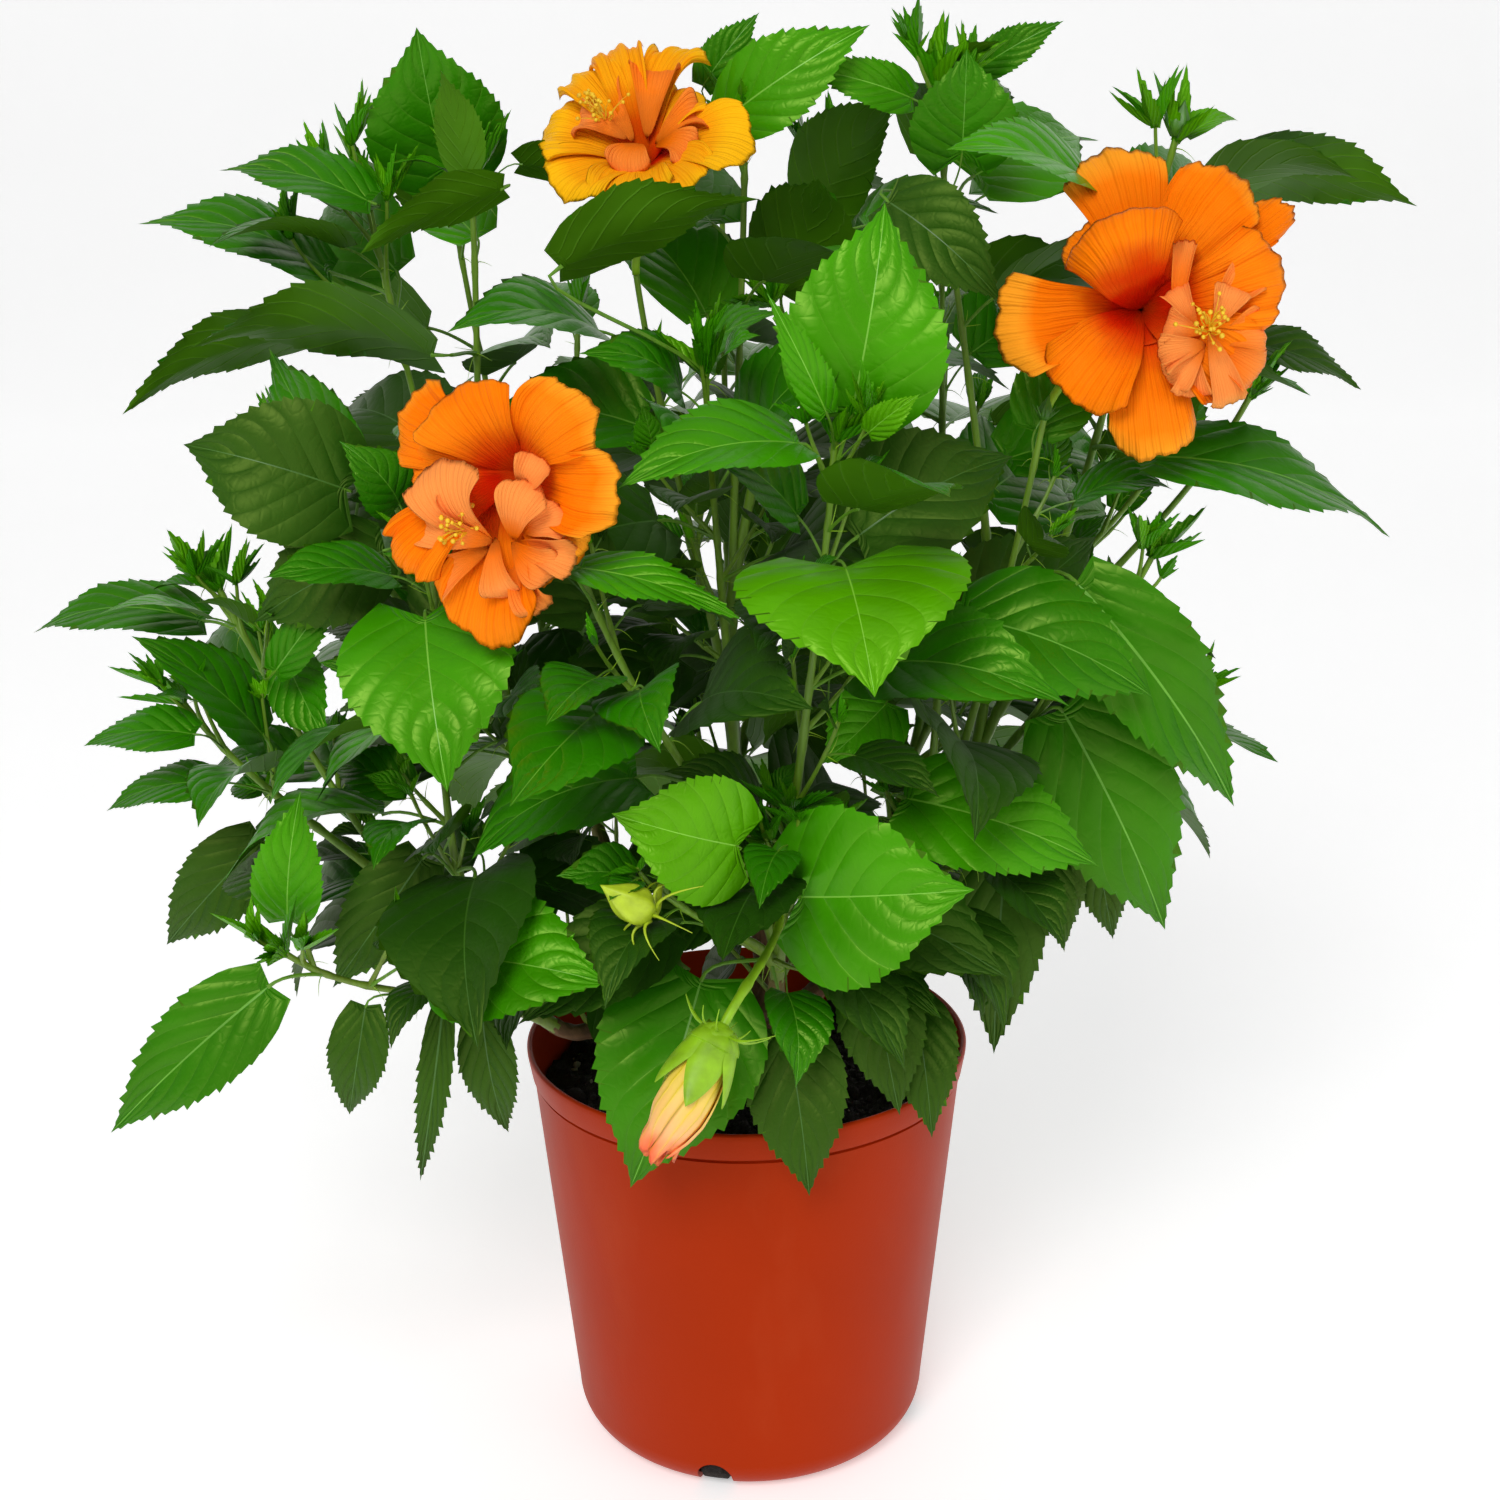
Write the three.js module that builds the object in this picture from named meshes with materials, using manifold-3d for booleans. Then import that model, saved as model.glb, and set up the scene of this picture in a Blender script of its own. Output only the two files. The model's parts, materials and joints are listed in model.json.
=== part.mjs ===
// A hibiscus shrub in its plastic nursery pot: low woody trunk, nine boughs, nine masses of leafy
// shoots, three double blooms and one opening bud. Millimetres, +Z up. The origin is the centre of
// the pot's flat underside, and -Y is the side the shrub shows best.
import * as THREE from "three";
import { mergeVertices } from "three/addons/utils/BufferGeometryUtils.js";
import Module from "manifold-3d";

const wasm = await Module();
wasm.setup();

// ---------------------------------------------------------------- driving dimensions

const CLEAR = 0.3; // gap between two pieces that touch
const SLIVER = 0.05; // finest detail kept where solids are joined
const PLANT_SEED = 20611;
const UP = new THREE.Vector3(0, 0, 1);
const SIDE_HELPER = new THREE.Vector3(0.6, 0.8, -0.35); // no limb ever runs along this line
const GOLDEN_TURN = THREE.MathUtils.degToRad(137.5);

const POT = {
  height: 205,
  rimRadius: 107.5,
  bandHeight: 14.5, // the plain band under the lip
  bandFootRadius: 105.6,
  wallTopRadius: 104.3,
  footRadius: 87.5, // where the wall meets the rounded corner
  cornerRadius: 19,
  cornerSteps: 4,
  wall: 1.8,
  base: 2.4,
  sides: 40,
  notches: 4,
  notchWidth: 17,
  notchHeight: 9.5,
  notchTurn: -102, // degrees from +X to the first notch
};

const SOIL = { top: 184, edgeDrop: 5, flatRadius: 34, sides: 24 };

const TRUNK = {
  flareRadius: 19,
  stemRadius: 12.5,
  topRadius: 9.5,
  height: 26,
  sides: 8,
  armFoot: 12, // height on the stump where the three arms leave it
  armReach: 34,
  armRise: 36,
  armRadius: [8.6, 6.8],
  knuckleRadius: 8.2,
  stubLength: 17,
};

const BOUGH = { footRadius: 4.9, tipRadius: 3.5, sides: 6, steps: 4 };
const SHOOT = { footRadius: 3.1, tipRadius: 1.1, sides: 3, steps: 5, bareShare: 0.1 };

// The trunk's three arms, by the compass angle that each leans to.
const ARMS = { left: 196, front: -62, back: 72 };

// The ways that a set leaf can face.
const FACES = {
  front: [0, -1, 0.3],
  raised: [0, -0.7, 0.7],
  up: [0, -0.45, 0.88],
  under: [0, 0.62, 0.78],
};

// Each bough: the arm it grows on, the point where it forks into a mass, and the tips of the
// mass's shoots, leader first. `from` is how far along the leader a side shoot leaves it. The set
// leaves are the ones that give the crown its outline: foot, tip, width and face.
const BOUGHS = [
  {
    name: "front",
    arm: "front",
    fork: [14, -84, 270],
    shoots: [
      { tip: [38, -128, 520], turn: 70 },
      { tip: [-62, -138, 468], from: 0.05, turn: 200, flower: true },
      { tip: [20, -112, 362], from: 0.1, turn: 10 },
      { tip: [-34, -150, 342], from: 0.02, turn: 120 },
    ],
    set: [
      [[44, -130, 529], [62, -118, 608], 0.78, "front"],
      [[24, -135, 519], [-44, -168, 511], 0.62, "up"],
      [[41, -150, 473], [48, -212, 443], 1.3, "raised"],
      [[23, -136, 330], [90, -168, 344], 1, "front"],
      [[-19, -108, 281], [-45, -142, 196], 0.76, "front"],
      [[-2, -150, 358], [-52, -166, 375], 0.95, "front"],
      [[61, -100, 403], [35, -120, 381], 0.85, "front"],
      [[18, -102, 254], [31, -126, 185], 0.6, "front"],
      [[50, -142, 524], [68, -150, 541], 0.5, "front"],
      [[34, -144, 532], [12, -156, 578], 0.3, "front"],
      [[-63, -150, 474], [0, -174, 459], 0.36, "up"],
    ],
  },
  {
    name: "left_front",
    arm: "left",
    fork: [-88, -50, 232],
    shoots: [
      { tip: [-232, -34, 440], turn: 120 },
      { tip: [-246, -60, 396], from: 0.3, turn: 10 },
      { tip: [-196, -122, 302], from: 0.02, turn: 300 },
      { tip: [-128, -100, 470], from: 0.12, turn: 76 },
    ],
    set: [
      [[-128, -120, 447], [-116, -165, 388], 0.95, "front"],
      [[-150, -74, 465], [-209, -80, 439], 0.7, "front"],
      [[-243, -20, 421], [-322, -20, 421], 0.46, "up"],
      [[-236, -80, 386], [-286, -74, 384], 0.56, "up"],
      [[-231, -72, 361], [-282, -66, 351], 0.5, "up"],
      [[-195, -114, 313], [-188, -114, 371], 0.52, "front"],
      [[-201, -130, 290], [-276, -140, 230], 0.42, "front"],
      [[-168, -94, 264], [-176, -92, 207], 0.46, "front"],
      [[-123, -132, 303], [-58, -164, 301], 0.85, "raised"],
      [[-118, -84, 255], [-114, -80, 191], 0.4, "front"],
      [[-218, -50, 327], [-268, -50, 273], 0.5, "front"],
      [[-140, -84, 330], [-182, -88, 268], 0.5, "front"],
      [[-133, -96, 267], [-143, -98, 175], 0.16, "front"],
      [[-200, -78, 413], [-165, -80, 452], 0.36, "front"],
    ],
  },
  {
    name: "left",
    arm: "left",
    fork: [-84, -6, 300],
    shoots: [
      { tip: [-160, -14, 612], turn: 30 },
      { tip: [-180, -66, 500], from: 0.1, turn: 160 },
      { tip: [-112, -28, 616], from: 0.25, turn: 250 },
    ],
    set: [
      [[-125, -8, 616], [-134, -30, 674], 0.95, "front"],
      [[-152, -46, 606], [-212, -46, 624], 0.6, "up"],
      [[-177, -10, 574], [-252, -30, 602], 0.6, "up"],
      [[-127, -62, 545], [-231, -56, 556], 0.52, "under"],
      [[-190, -14, 547], [-270, -30, 523], 0.5, "under"],
      [[-162, -90, 494], [-226, -90, 518], 0.88, "front"],
      [[-95, -62, 612], [-153, -78, 589], 0.5, "under"],
      [[-110, -62, 618], [-117, -64, 659], 0.5, "under"],
      [[-91, -28, 620], [-60, -34, 612], 0.85, "under"],
    ],
  },
  {
    name: "top",
    arm: "back",
    fork: [-4, 12, 330],
    shoots: [
      { tip: [4, -6, 636], turn: 140 },
      { tip: [-44, -14, 572], from: 0.06, turn: 310, flower: true },
      { tip: [44, 34, 618], from: 0.3, turn: 70 },
      { tip: [-14, -60, 536], from: 0.05, turn: 30 },
    ],
    set: [
      [[-71, -88, 583], [8, -84, 612], 0.55, "under"],
      [[-4, -14, 637], [56, -20, 675], 0.52, "front"],
      [[-14, 0, 650], [9, 0, 681], 0.5, "front"],
      [[36, 6, 600], [70, 16, 643], 1.1, "under"],
    ],
  },
  {
    name: "right_front",
    arm: "front",
    fork: [68, -48, 284],
    shoots: [
      { tip: [129, -58, 515], turn: 20, flower: true },
      { tip: [178, -58, 456], from: 0.12, turn: 110 },
      { tip: [86, -80, 470], from: 0.08, turn: 300 },
      { tip: [108, -92, 342], from: 0.03, turn: 230 },
    ],
    set: [
      [[68, -104, 362], [152, -114, 334], 0.62, "raised"],
      [[90, -100, 440], [168, -124, 411], 0.7, "raised"],
      [[140, -92, 452], [221, -88, 355], 0.38, "front"],
      [[140, -64, 388], [195, -72, 287], 0.56, "front"],
      [[57, -84, 274], [64, -112, 216], 0.6, "front"],
      [[76, -76, 256], [85, -104, 201], 0.52, "front"],
      [[120, -44, 320], [108, -60, 220], 0.42, "front"],
      [[133, -60, 325], [143, -66, 273], 0.4, "front"],
    ],
  },
  {
    name: "right",
    arm: "back",
    fork: [92, 12, 304],
    shoots: [
      { tip: [186, -22, 628], turn: 80 },
      { tip: [223, -28, 520], from: 0.2, turn: 190 },
      { tip: [206, -14, 380], from: 0.05, turn: 330 },
      { tip: [86, -8, 652], from: 0.12, turn: 20 },
    ],
    set: [
      [[170, -66, 500], [287, -44, 468], 0.42, "up"],
      [[206, -14, 610], [291, -14, 599], 0.62, "under"],
      [[223, -14, 540], [274, -20, 524], 0.55, "up"],
      [[96, -18, 621], [96, -26, 664], 1.05, "front"],
      [[104, 8, 655], [139, 0, 677], 0.42, "front"],
      [[143, -62, 613], [84, -84, 632], 0.7, "up"],
      [[136, -16, 318], [154, -22, 259], 0.55, "front"],
      [[166, 2, 308], [176, -2, 251], 0.45, "front"],
      [[76, -2, 644], [28, -10, 657], 0.42, "front"],
      [[62, -56, 605], [111, -74, 569], 0.62, "front"],
    ],
  },
  {
    name: "back_left",
    arm: "left",
    fork: [-76, 70, 292],
    shoots: [
      { tip: [-140, 110, 606], turn: 50 },
      { tip: [-226, 92, 486], from: 0.1, turn: 170 },
      { tip: [-186, 138, 350], from: 0.05, turn: 290 },
      { tip: [-82, 150, 540], from: 0.15, turn: 10 },
    ],
  },
  {
    name: "back",
    arm: "back",
    fork: [-2, 92, 286],
    shoots: [
      { tip: [-8, 128, 626], turn: 0 },
      { tip: [-50, 214, 500], from: 0.1, turn: 100 },
      { tip: [44, 226, 420], from: 0.05, turn: 220 },
      { tip: [-84, 214, 336], from: 0.02, turn: 330 },
    ],
  },
  {
    name: "back_right",
    arm: "back",
    fork: [78, 78, 290],
    shoots: [
      { tip: [100, 106, 618], turn: 130 },
      { tip: [216, 100, 480], from: 0.1, turn: 240 },
      { tip: [172, 158, 344], from: 0.05, turn: 350 },
      { tip: [110, 190, 526], from: 0.15, turn: 60 },
    ],
  },
];

// The leaf rule. Leaves are counted from each shoot's tip down.
const LEAF = {
  longest: 90,
  youngest: 0.3, // share of the longest, at the tip
  growth: 1.7, // leaves until a blade has nearly its full size
  internode: 24,
  halfWidth: 0.33, // share of the length
  widestAt: 0.34, // value of the outline's formula at its widest
  footPower: 0.55,
  tipPower: 1.17,
  lobe: 0.1, // how far the heart-shaped foot reaches back
  petiole: 0.36,
  petioleRadius: 1.05,
  thickness: 0.016,
  midAt: 0.38,
  gap: 4.5, // least way between two blades
  outline: [0.18, 0.55], // shares of the length where the cut outline has its points
  setPetiole: 26,
  overReach: 45, // how far past the midway to a neighbouring mass a leaf may go
  mostPlaces: 12,
};
const CROWN = { x: -6, y: 12, reachX: 292, reachY: 290, top: 677, shoulder: 60, foot: 190, waist: 440, taper: 0.3 };
const TRIES = [
  { turn: 0, size: 1 },
  { turn: 0.5, size: 1 },
  { turn: -0.5, size: 1 },
  { turn: 0.9, size: 0.88 },
  { turn: -0.9, size: 0.88 },
  { turn: 0, size: 0.72 },
];
const BUD = { length: 19, radius: 4.1, sides: 4, steps: 2 };

// Each bloom: the bough whose flower shoot carries it, its centre, the way it faces and its size.
const BLOOMS = [
  { name: "bloom_left", bough: "front", centre: [-92, -158, 500], facing: [-0.3, -0.93, 0.12], radius: 52, turn: 18 },
  { name: "bloom_right", bough: "right_front", centre: [164, -92, 567], facing: [-0.12, -0.96, 0.2], radius: 64, turn: 50 },
  { name: "bloom_top", bough: "top", centre: [-39, -36, 635], facing: [-0.16, -0.62, 0.74], radius: 45, turn: 30 },
];
const PETAL = { outer: 5, inner: 5, thickness: 1.3, spread: 0.66, waves: 3 };
const OPENING_BUD = {
  stalkWay: [-0.2, -0.86, -0.46], // how its stalk leaves the stem
  stalkSeat: 1.7, // from the middle of the stem to the stalk's foot
  foot: [-9, -162, 284],
  facing: [-0.47, -0.4, -0.79],
  length: 58,
  radius: 12.5,
};

// ---------------------------------------------------------------- small tools

const vec = (list) => new THREE.Vector3(...list);
const radians = THREE.MathUtils.degToRad;

// A repeatable number from 0 to 1 for any whole-number keys.
function chance(...keys) {
  let h = PLANT_SEED;
  for (const key of keys) {
    h = Math.imul(h ^ key, 0x9e3779b1);
    h ^= h >>> 15;
    h = Math.imul(h, 0x85ebca77);
    h ^= h >>> 13;
  }
  return (h >>> 0) / 4294967296;
}
const between = (low, high, ...keys) => low + (high - low) * chance(...keys);

// Weighted sum of directions, brought to length 1.
function blend(...pairs) {
  const sum = new THREE.Vector3();
  for (const [direction, weight] of pairs) sum.addScaledVector(direction, weight);
  return sum.normalize();
}

// Two directions square to `direction` and to each other, in right-handed order.
function across(direction) {
  const first = new THREE.Vector3().crossVectors(SIDE_HELPER, direction).normalize();
  return [first, new THREE.Vector3().crossVectors(direction, first)];
}

// A smooth path that leaves `start` along `heading` and arrives at `end` along `arrival`.
function path(start, heading, end, arrival) {
  const third = start.distanceTo(end) / 3;
  return new THREE.CubicBezierCurve3(
    start,
    start.clone().addScaledVector(heading, third),
    end.clone().addScaledVector(arrival, -third),
    end,
  );
}
const straight = (start, end) => new THREE.LineCurve3(start, end);

// ---------------------------------------------------------------- solids

function solidFrom(points, triangles) {
  const vertProperties = new Float32Array(points.flatMap((p) => [p.x, p.y, p.z]));
  return new wasm.Manifold(new wasm.Mesh({ numProp: 3, vertProperties, triVerts: new Uint32Array(triangles) }));
}

function solidOf(geometry) {
  geometry.deleteAttribute("normal");
  geometry.deleteAttribute("uv");
  const merged = mergeVertices(geometry, 1e-3);
  const { array } = merged.index;
  const triVerts = [];
  for (let i = 0; i < array.length; i += 3) {
    const [a, b, c] = [array[i], array[i + 1], array[i + 2]];
    if (a !== b && b !== c && c !== a) triVerts.push(a, b, c);
  }
  const vertProperties = merged.attributes.position.array;
  return new wasm.Manifold(new wasm.Mesh({ numProp: 3, vertProperties, triVerts: new Uint32Array(triVerts) }));
}

// Joins solids into one body without slivers: sealed hollows are filled, loose scraps are dropped.
function fuse(solids) {
  const bodies = wasm.Manifold.union(solids).decompose();
  const body = bodies.reduce((best, next) => (next.volume() > best.volume() ? next : best));
  return body.asOriginal().simplify(SLIVER);
}

function meshOf(name, solid, material) {
  const { numProp, numVert, vertProperties, triVerts } = solid.getMesh();
  const positions = new Float32Array(numVert * 3);
  for (let i = 0; i < numVert; i++) {
    positions.set(vertProperties.subarray(i * numProp, i * numProp + 3), i * 3);
  }
  const geometry = new THREE.BufferGeometry();
  geometry.setAttribute("position", new THREE.BufferAttribute(positions, 3));
  geometry.setIndex(new THREE.BufferAttribute(triVerts, 1));
  geometry.computeVertexNormals();
  const mesh = new THREE.Mesh(geometry, material);
  mesh.name = name;
  return mesh;
}

// A limb of round section along a curve, closed by flat ends. radiusAt gives its radius from 0 to 1.
function limb(curve, radiusAt, sides, steps) {
  const points = [];
  for (let j = 0; j <= steps; j++) {
    const t = j / steps;
    const centre = curve.getPoint(t);
    const [first, second] = across(curve.getTangent(t));
    for (let k = 0; k < sides; k++) {
      const angle = (2 * Math.PI * k) / sides;
      const radius = radiusAt(t);
      points.push(
        centre
          .clone()
          .addScaledVector(first, radius * Math.cos(angle))
          .addScaledVector(second, radius * Math.sin(angle)),
      );
    }
  }
  const triangles = [];
  for (let j = 0; j < steps; j++) {
    for (let k = 0; k < sides; k++) {
      const [a, b] = [j * sides + k, j * sides + ((k + 1) % sides)];
      triangles.push(a, b, b + sides, a, b + sides, a + sides);
    }
  }
  const last = steps * sides;
  for (let k = 1; k < sides - 1; k++) {
    triangles.push(0, k + 1, k, last, last + k, last + k + 1);
  }
  return solidFrom(points, triangles);
}
const taper = (foot, tip) => (t) => foot + (tip - foot) * t;

// A thin plate over a grid of points, rows[j][i], thickened evenly to both sides.
function plate(rows, thickness) {
  const [across_, along] = [rows[0].length, rows.length];
  const at = (j, i) => rows[Math.min(Math.max(j, 0), along - 1)][Math.min(Math.max(i, 0), across_ - 1)];
  const upper = [];
  const lower = [];
  for (let j = 0; j < along; j++) {
    for (let i = 0; i < across_; i++) {
      const side = at(j, i + 1).clone().sub(at(j, i - 1));
      const run = at(j + 1, i).clone().sub(at(j - 1, i));
      const normal = side.cross(run).normalize();
      upper.push(at(j, i).clone().addScaledVector(normal, thickness / 2));
      lower.push(at(j, i).clone().addScaledVector(normal, -thickness / 2));
    }
  }
  const half = upper.length;
  const triangles = [];
  for (let j = 0; j < along - 1; j++) {
    for (let i = 0; i < across_ - 1; i++) {
      const a = j * across_ + i;
      const [b, c, d] = [a + 1, a + 1 + across_, a + across_];
      triangles.push(a, b, c, a, c, d, half + a, half + c, half + b, half + a, half + d, half + c);
    }
  }
  const border = [];
  for (let i = 0; i < across_ - 1; i++) border.push(i);
  for (let j = 0; j < along - 1; j++) border.push(j * across_ + across_ - 1);
  for (let i = across_ - 1; i > 0; i--) border.push((along - 1) * across_ + i);
  for (let j = along - 1; j > 0; j--) border.push(j * across_);
  border.forEach((a, k) => {
    const b = border[(k + 1) % border.length];
    triangles.push(half + a, half + b, b, half + a, b, a);
  });
  return solidFrom([...upper, ...lower], triangles);
}

// A solid of revolution about +Z from a profile of [radius, height] pairs.
function turned(profile, sides) {
  const points = profile.map(([radius, height]) => new THREE.Vector2(radius, height));
  return solidOf(new THREE.LatheGeometry(points, sides).rotateX(Math.PI / 2));
}

// ---------------------------------------------------------------- pot and soil

// The wall's radius at a height, `inset` in from its outer face.
function wallRadius(height, inset) {
  const { footRadius, cornerRadius, wallTopRadius, bandHeight } = POT;
  const share = (height - cornerRadius) / (POT.height - bandHeight - cornerRadius);
  return footRadius + (wallTopRadius - footRadius) * Math.max(share, 0) - inset;
}

// The rounded corner, from the flat foot out to the wall, `inset` in from its outer face.
function corner(inset, steps = POT.cornerSteps) {
  const { footRadius, cornerRadius } = POT;
  const radius = cornerRadius - inset;
  return Array.from({ length: steps + 1 }, (_, k) => {
    const angle = (Math.PI / 2) * (k / steps);
    return [footRadius - cornerRadius + radius * Math.sin(angle), cornerRadius - radius * Math.cos(angle)];
  });
}

function pot() {
  const { height, rimRadius, bandHeight, bandFootRadius, wall, base } = POT;
  const band = height - bandHeight;
  const shell = turned(
    [
      [0, 0],
      ...corner(0),
      [wallRadius(band, 0), band],
      [bandFootRadius, band + 1],
      [rimRadius, height - 2.5],
      [rimRadius - 0.6, height],
      [rimRadius - 2.6, height],
      [wallRadius(band, wall), band - 4],
      ...corner(base).reverse(),
      [0, base],
    ],
    POT.sides,
  );
  // An arched drain notch, cut through the rounded corner from the foot.
  const { notchWidth, notchHeight, footRadius, cornerRadius } = POT;
  const arch = new THREE.Shape();
  arch.moveTo(-notchWidth / 2, -5);
  arch.lineTo(notchWidth / 2, -5);
  arch.lineTo(notchWidth / 2, notchHeight - notchWidth / 2);
  arch.absarc(0, notchHeight - notchWidth / 2, notchWidth / 2, 0, Math.PI);
  const depth = cornerRadius + 16;
  const notches = Array.from({ length: POT.notches }, (_, k) => {
    const prism = new THREE.ExtrudeGeometry(arch, { depth, bevelEnabled: false, curveSegments: 4 });
    prism.rotateX(Math.PI / 2).rotateZ(Math.PI / 2);
    prism.translate(footRadius - cornerRadius - 8, 0, 0);
    prism.rotateZ(radians(POT.notchTurn) + (2 * Math.PI * k) / POT.notches);
    return solidOf(prism);
  });
  return shell.subtract(wasm.Manifold.union(notches));
}

function soil() {
  const { base, wall, bandHeight } = POT;
  const edge = SOIL.top - SOIL.edgeDrop;
  const band = POT.height - bandHeight - 4;
  return turned(
    [
      [0, base + CLEAR],
      ...corner(base + CLEAR, 2).slice(0, 2),
      [wallRadius(POT.cornerRadius, base) - 1.2, POT.cornerRadius + 1],
      [wallRadius(Math.min(edge, band), wall) - 1.2, edge],
      [SOIL.flatRadius, SOIL.top],
      [0, SOIL.top],
    ],
    SOIL.sides,
  );
}

// ---------------------------------------------------------------- trunk and boughs

const GROUND = SOIL.top + CLEAR;

// Where each arm of the trunk ends, in the knuckle that its boughs grow from.
const knuckles = Object.fromEntries(
  Object.entries(ARMS).map(([name, compass]) => {
    const lean = new THREE.Vector3(Math.cos(radians(compass)), Math.sin(radians(compass)), 0);
    return [name, lean.multiplyScalar(TRUNK.armReach).setZ(GROUND + TRUNK.armRise)];
  }),
);

// Every bough as a curve from its knuckle's stub to its fork.
const boughs = BOUGHS.map((bough) => {
  const knuckle = knuckles[bough.arm];
  const fork = vec(bough.fork);
  const leader = vec(bough.shoots[0].tip);
  const heading = blend([fork.clone().sub(knuckle).normalize(), 1], [UP, 0.12]);
  const start = knuckle.clone().addScaledVector(heading, TRUNK.stubLength + CLEAR);
  const arrival = blend([leader.sub(fork).normalize(), 0.6], [heading, 0.5]);
  return { ...bough, knuckle, heading, arrival, curve: path(start, heading, fork, arrival) };
});

function trunk() {
  const { flareRadius, stemRadius, topRadius, height, armFoot, armRadius, knuckleRadius, stubLength } = TRUNK;
  const stump = turned(
    [
      [0, GROUND],
      [flareRadius, GROUND],
      [stemRadius + 2, GROUND + height * 0.2],
      [stemRadius, GROUND + height * 0.45],
      [topRadius, GROUND + height],
      [0, GROUND + height + 3],
    ],
    TRUNK.sides,
  );
  const arms = Object.values(knuckles).flatMap((knuckle) => {
    const foot = new THREE.Vector3(0, 0, GROUND + armFoot);
    const lean = knuckle.clone().sub(foot).normalize();
    const curve = path(foot, blend([lean, 1], [UP, -0.1]), knuckle, blend([lean, 0.7], [UP, 0.6]));
    const ball = new THREE.IcosahedronGeometry(knuckleRadius, 0).translate(...knuckle);
    return [limb(curve, taper(...armRadius), 6, 2), solidOf(ball)];
  });
  const stubs = boughs.map(({ knuckle, heading }) => {
    const end = knuckle.clone().addScaledVector(heading, stubLength);
    return limb(straight(knuckle, end), taper(BOUGH.footRadius + 0.7, BOUGH.footRadius), BOUGH.sides, 1);
  });
  return fuse([stump, ...arms, ...stubs]);
}

const boughSolid = ({ curve }) => limb(curve, taper(BOUGH.footRadius, BOUGH.tipRadius), BOUGH.sides, BOUGH.steps);

// ---------------------------------------------------------------- shoots

// The shoots of every mass: a leader that carries its bough on, and side shoots that leave it.
const shoots = boughs.flatMap((bough, b) => {
  const start = bough.curve.getPoint(1).addScaledVector(bough.arrival, CLEAR);
  const leaderTip = vec(bough.shoots[0].tip);
  const leader = path(start, bough.arrival, leaderTip, blend([leaderTip.clone().sub(start).normalize(), 1], [UP, 0.45]));
  return bough.shoots.map(({ tip, from = 0, turn, flower = false }, s) => {
    const end = vec(tip);
    const foot = leader.getPoint(from);
    const way = end.clone().sub(foot).normalize();
    const heading = blend([leader.getTangent(from), 0.7], [way, 0.6]);
    const curve = s === 0 ? leader : path(foot, heading, end, blend([way, 1], [UP, 0.45]));
    const length = foot.distanceTo(end);
    return { key: b * 8 + s, bough: b, curve, length, turn: radians(turn), flower };
  });
});

// ---------------------------------------------------------------- the leaf rule

// A blade's half width at a share of its length: a power of the way from the foot times a power of
// the way to the tip, which is widest a third of the way up.
const halfWidth = (leaf, v) =>
  (leaf.half * Math.pow(Math.max(v, 0), LEAF.footPower) * Math.pow(Math.max(1 - v, 0), LEAF.tipPower)) / LEAF.widestAt;

// The height of a blade's middle surface over the chord from its foot to its tip: it arches along
// its length as a parabola and folds up from the midrib.
const bladeHeight = (leaf, x, y) => leaf.fold * Math.abs(x) + leaf.arch * y * (1 - y / leaf.length);

// The point of a blade at u across (-1 to 1) and v along (0 to 1), `lift` off its middle surface.
function bladePoint(leaf, u, v, lift = 0) {
  const x = u * halfWidth(leaf, v);
  const y = leaf.length * (v - LEAF.lobe * u * u * Math.pow(1 - v, 5));
  return leaf.foot
    .clone()
    .addScaledVector(leaf.right, x)
    .addScaledVector(leaf.along, y)
    .addScaledVector(leaf.normal, bladeHeight(leaf, x, y) + lift);
}

// A blade's square frame from the way it points and the way it would like to face.
function bladeFrame(along, facing) {
  const normal = facing.clone().addScaledVector(along, -facing.dot(along)).normalize();
  return { along, normal, right: new THREE.Vector3().crossVectors(along, normal) };
}

// The leaf that grows at place `index` below the tip of a shoot, turned and sized for one try.
function leafAt(shoot, index, attempt) {
  const dice = (low, high, key) => between(low, high, shoot.key, index, key);
  const age = 1 - Math.exp(-index / LEAF.growth);
  const below = 6 + LEAF.internode * (index - 0.9 * (1 - Math.exp(-index / 1.6)));
  const share = 1 - below / shoot.length;
  if (share < SHOOT.bareShare) return null;
  const root = shoot.curve.getPoint(share);
  const stem = shoot.curve.getTangent(share);
  const angle = shoot.turn + GOLDEN_TURN * index + dice(-0.2, 0.2, 1) + attempt.turn;
  const [first, second] = across(stem);
  const radial = blend([first, Math.cos(angle)], [second, Math.sin(angle)]);
  const lean = radians(40 + 3 * Math.min(index, 8) + dice(-6, 6, 2));
  const stalk = blend([stem, Math.cos(lean)], [radial, Math.sin(lean)]);
  const outward = new THREE.Vector3(root.x - CROWN.x, root.y - CROWN.y, 0).normalize();
  const lowness = Math.max(0, Math.min(1, (400 - root.z) / 200));
  const hang = 0.05 + 0.5 * age * (1 - share * 0.4) + dice(-0.1, 0.25, 3) + 0.6 * lowness;
  const along = blend([stalk, 0.85], [outward, 0.42], [UP, -hang]);
  const tilt = [first, dice(-0.3, 0.3, 4)];
  const facing = blend([UP, 0.85], [outward, 0.6], tilt, [second, dice(-0.3, 0.3, 5)]);
  const size = (LEAF.youngest + (1 - LEAF.youngest) * age) * dice(0.86, 1.08, 6) * attempt.size;
  const length = LEAF.longest * size;
  const petiole = length * LEAF.petiole * dice(0.8, 1.25, 7);
  return {
    shoot,
    root,
    foot: root.clone().addScaledVector(stalk, petiole * 0.75).addScaledVector(along, petiole * 0.25),
    ...bladeFrame(along, facing),
    length,
    half: length * LEAF.halfWidth * dice(0.9, 1.15, 8),
    fold: dice(0.06, 0.34, 9),
    arch: dice(0.2, 0.7, 10),
  };
}

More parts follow.
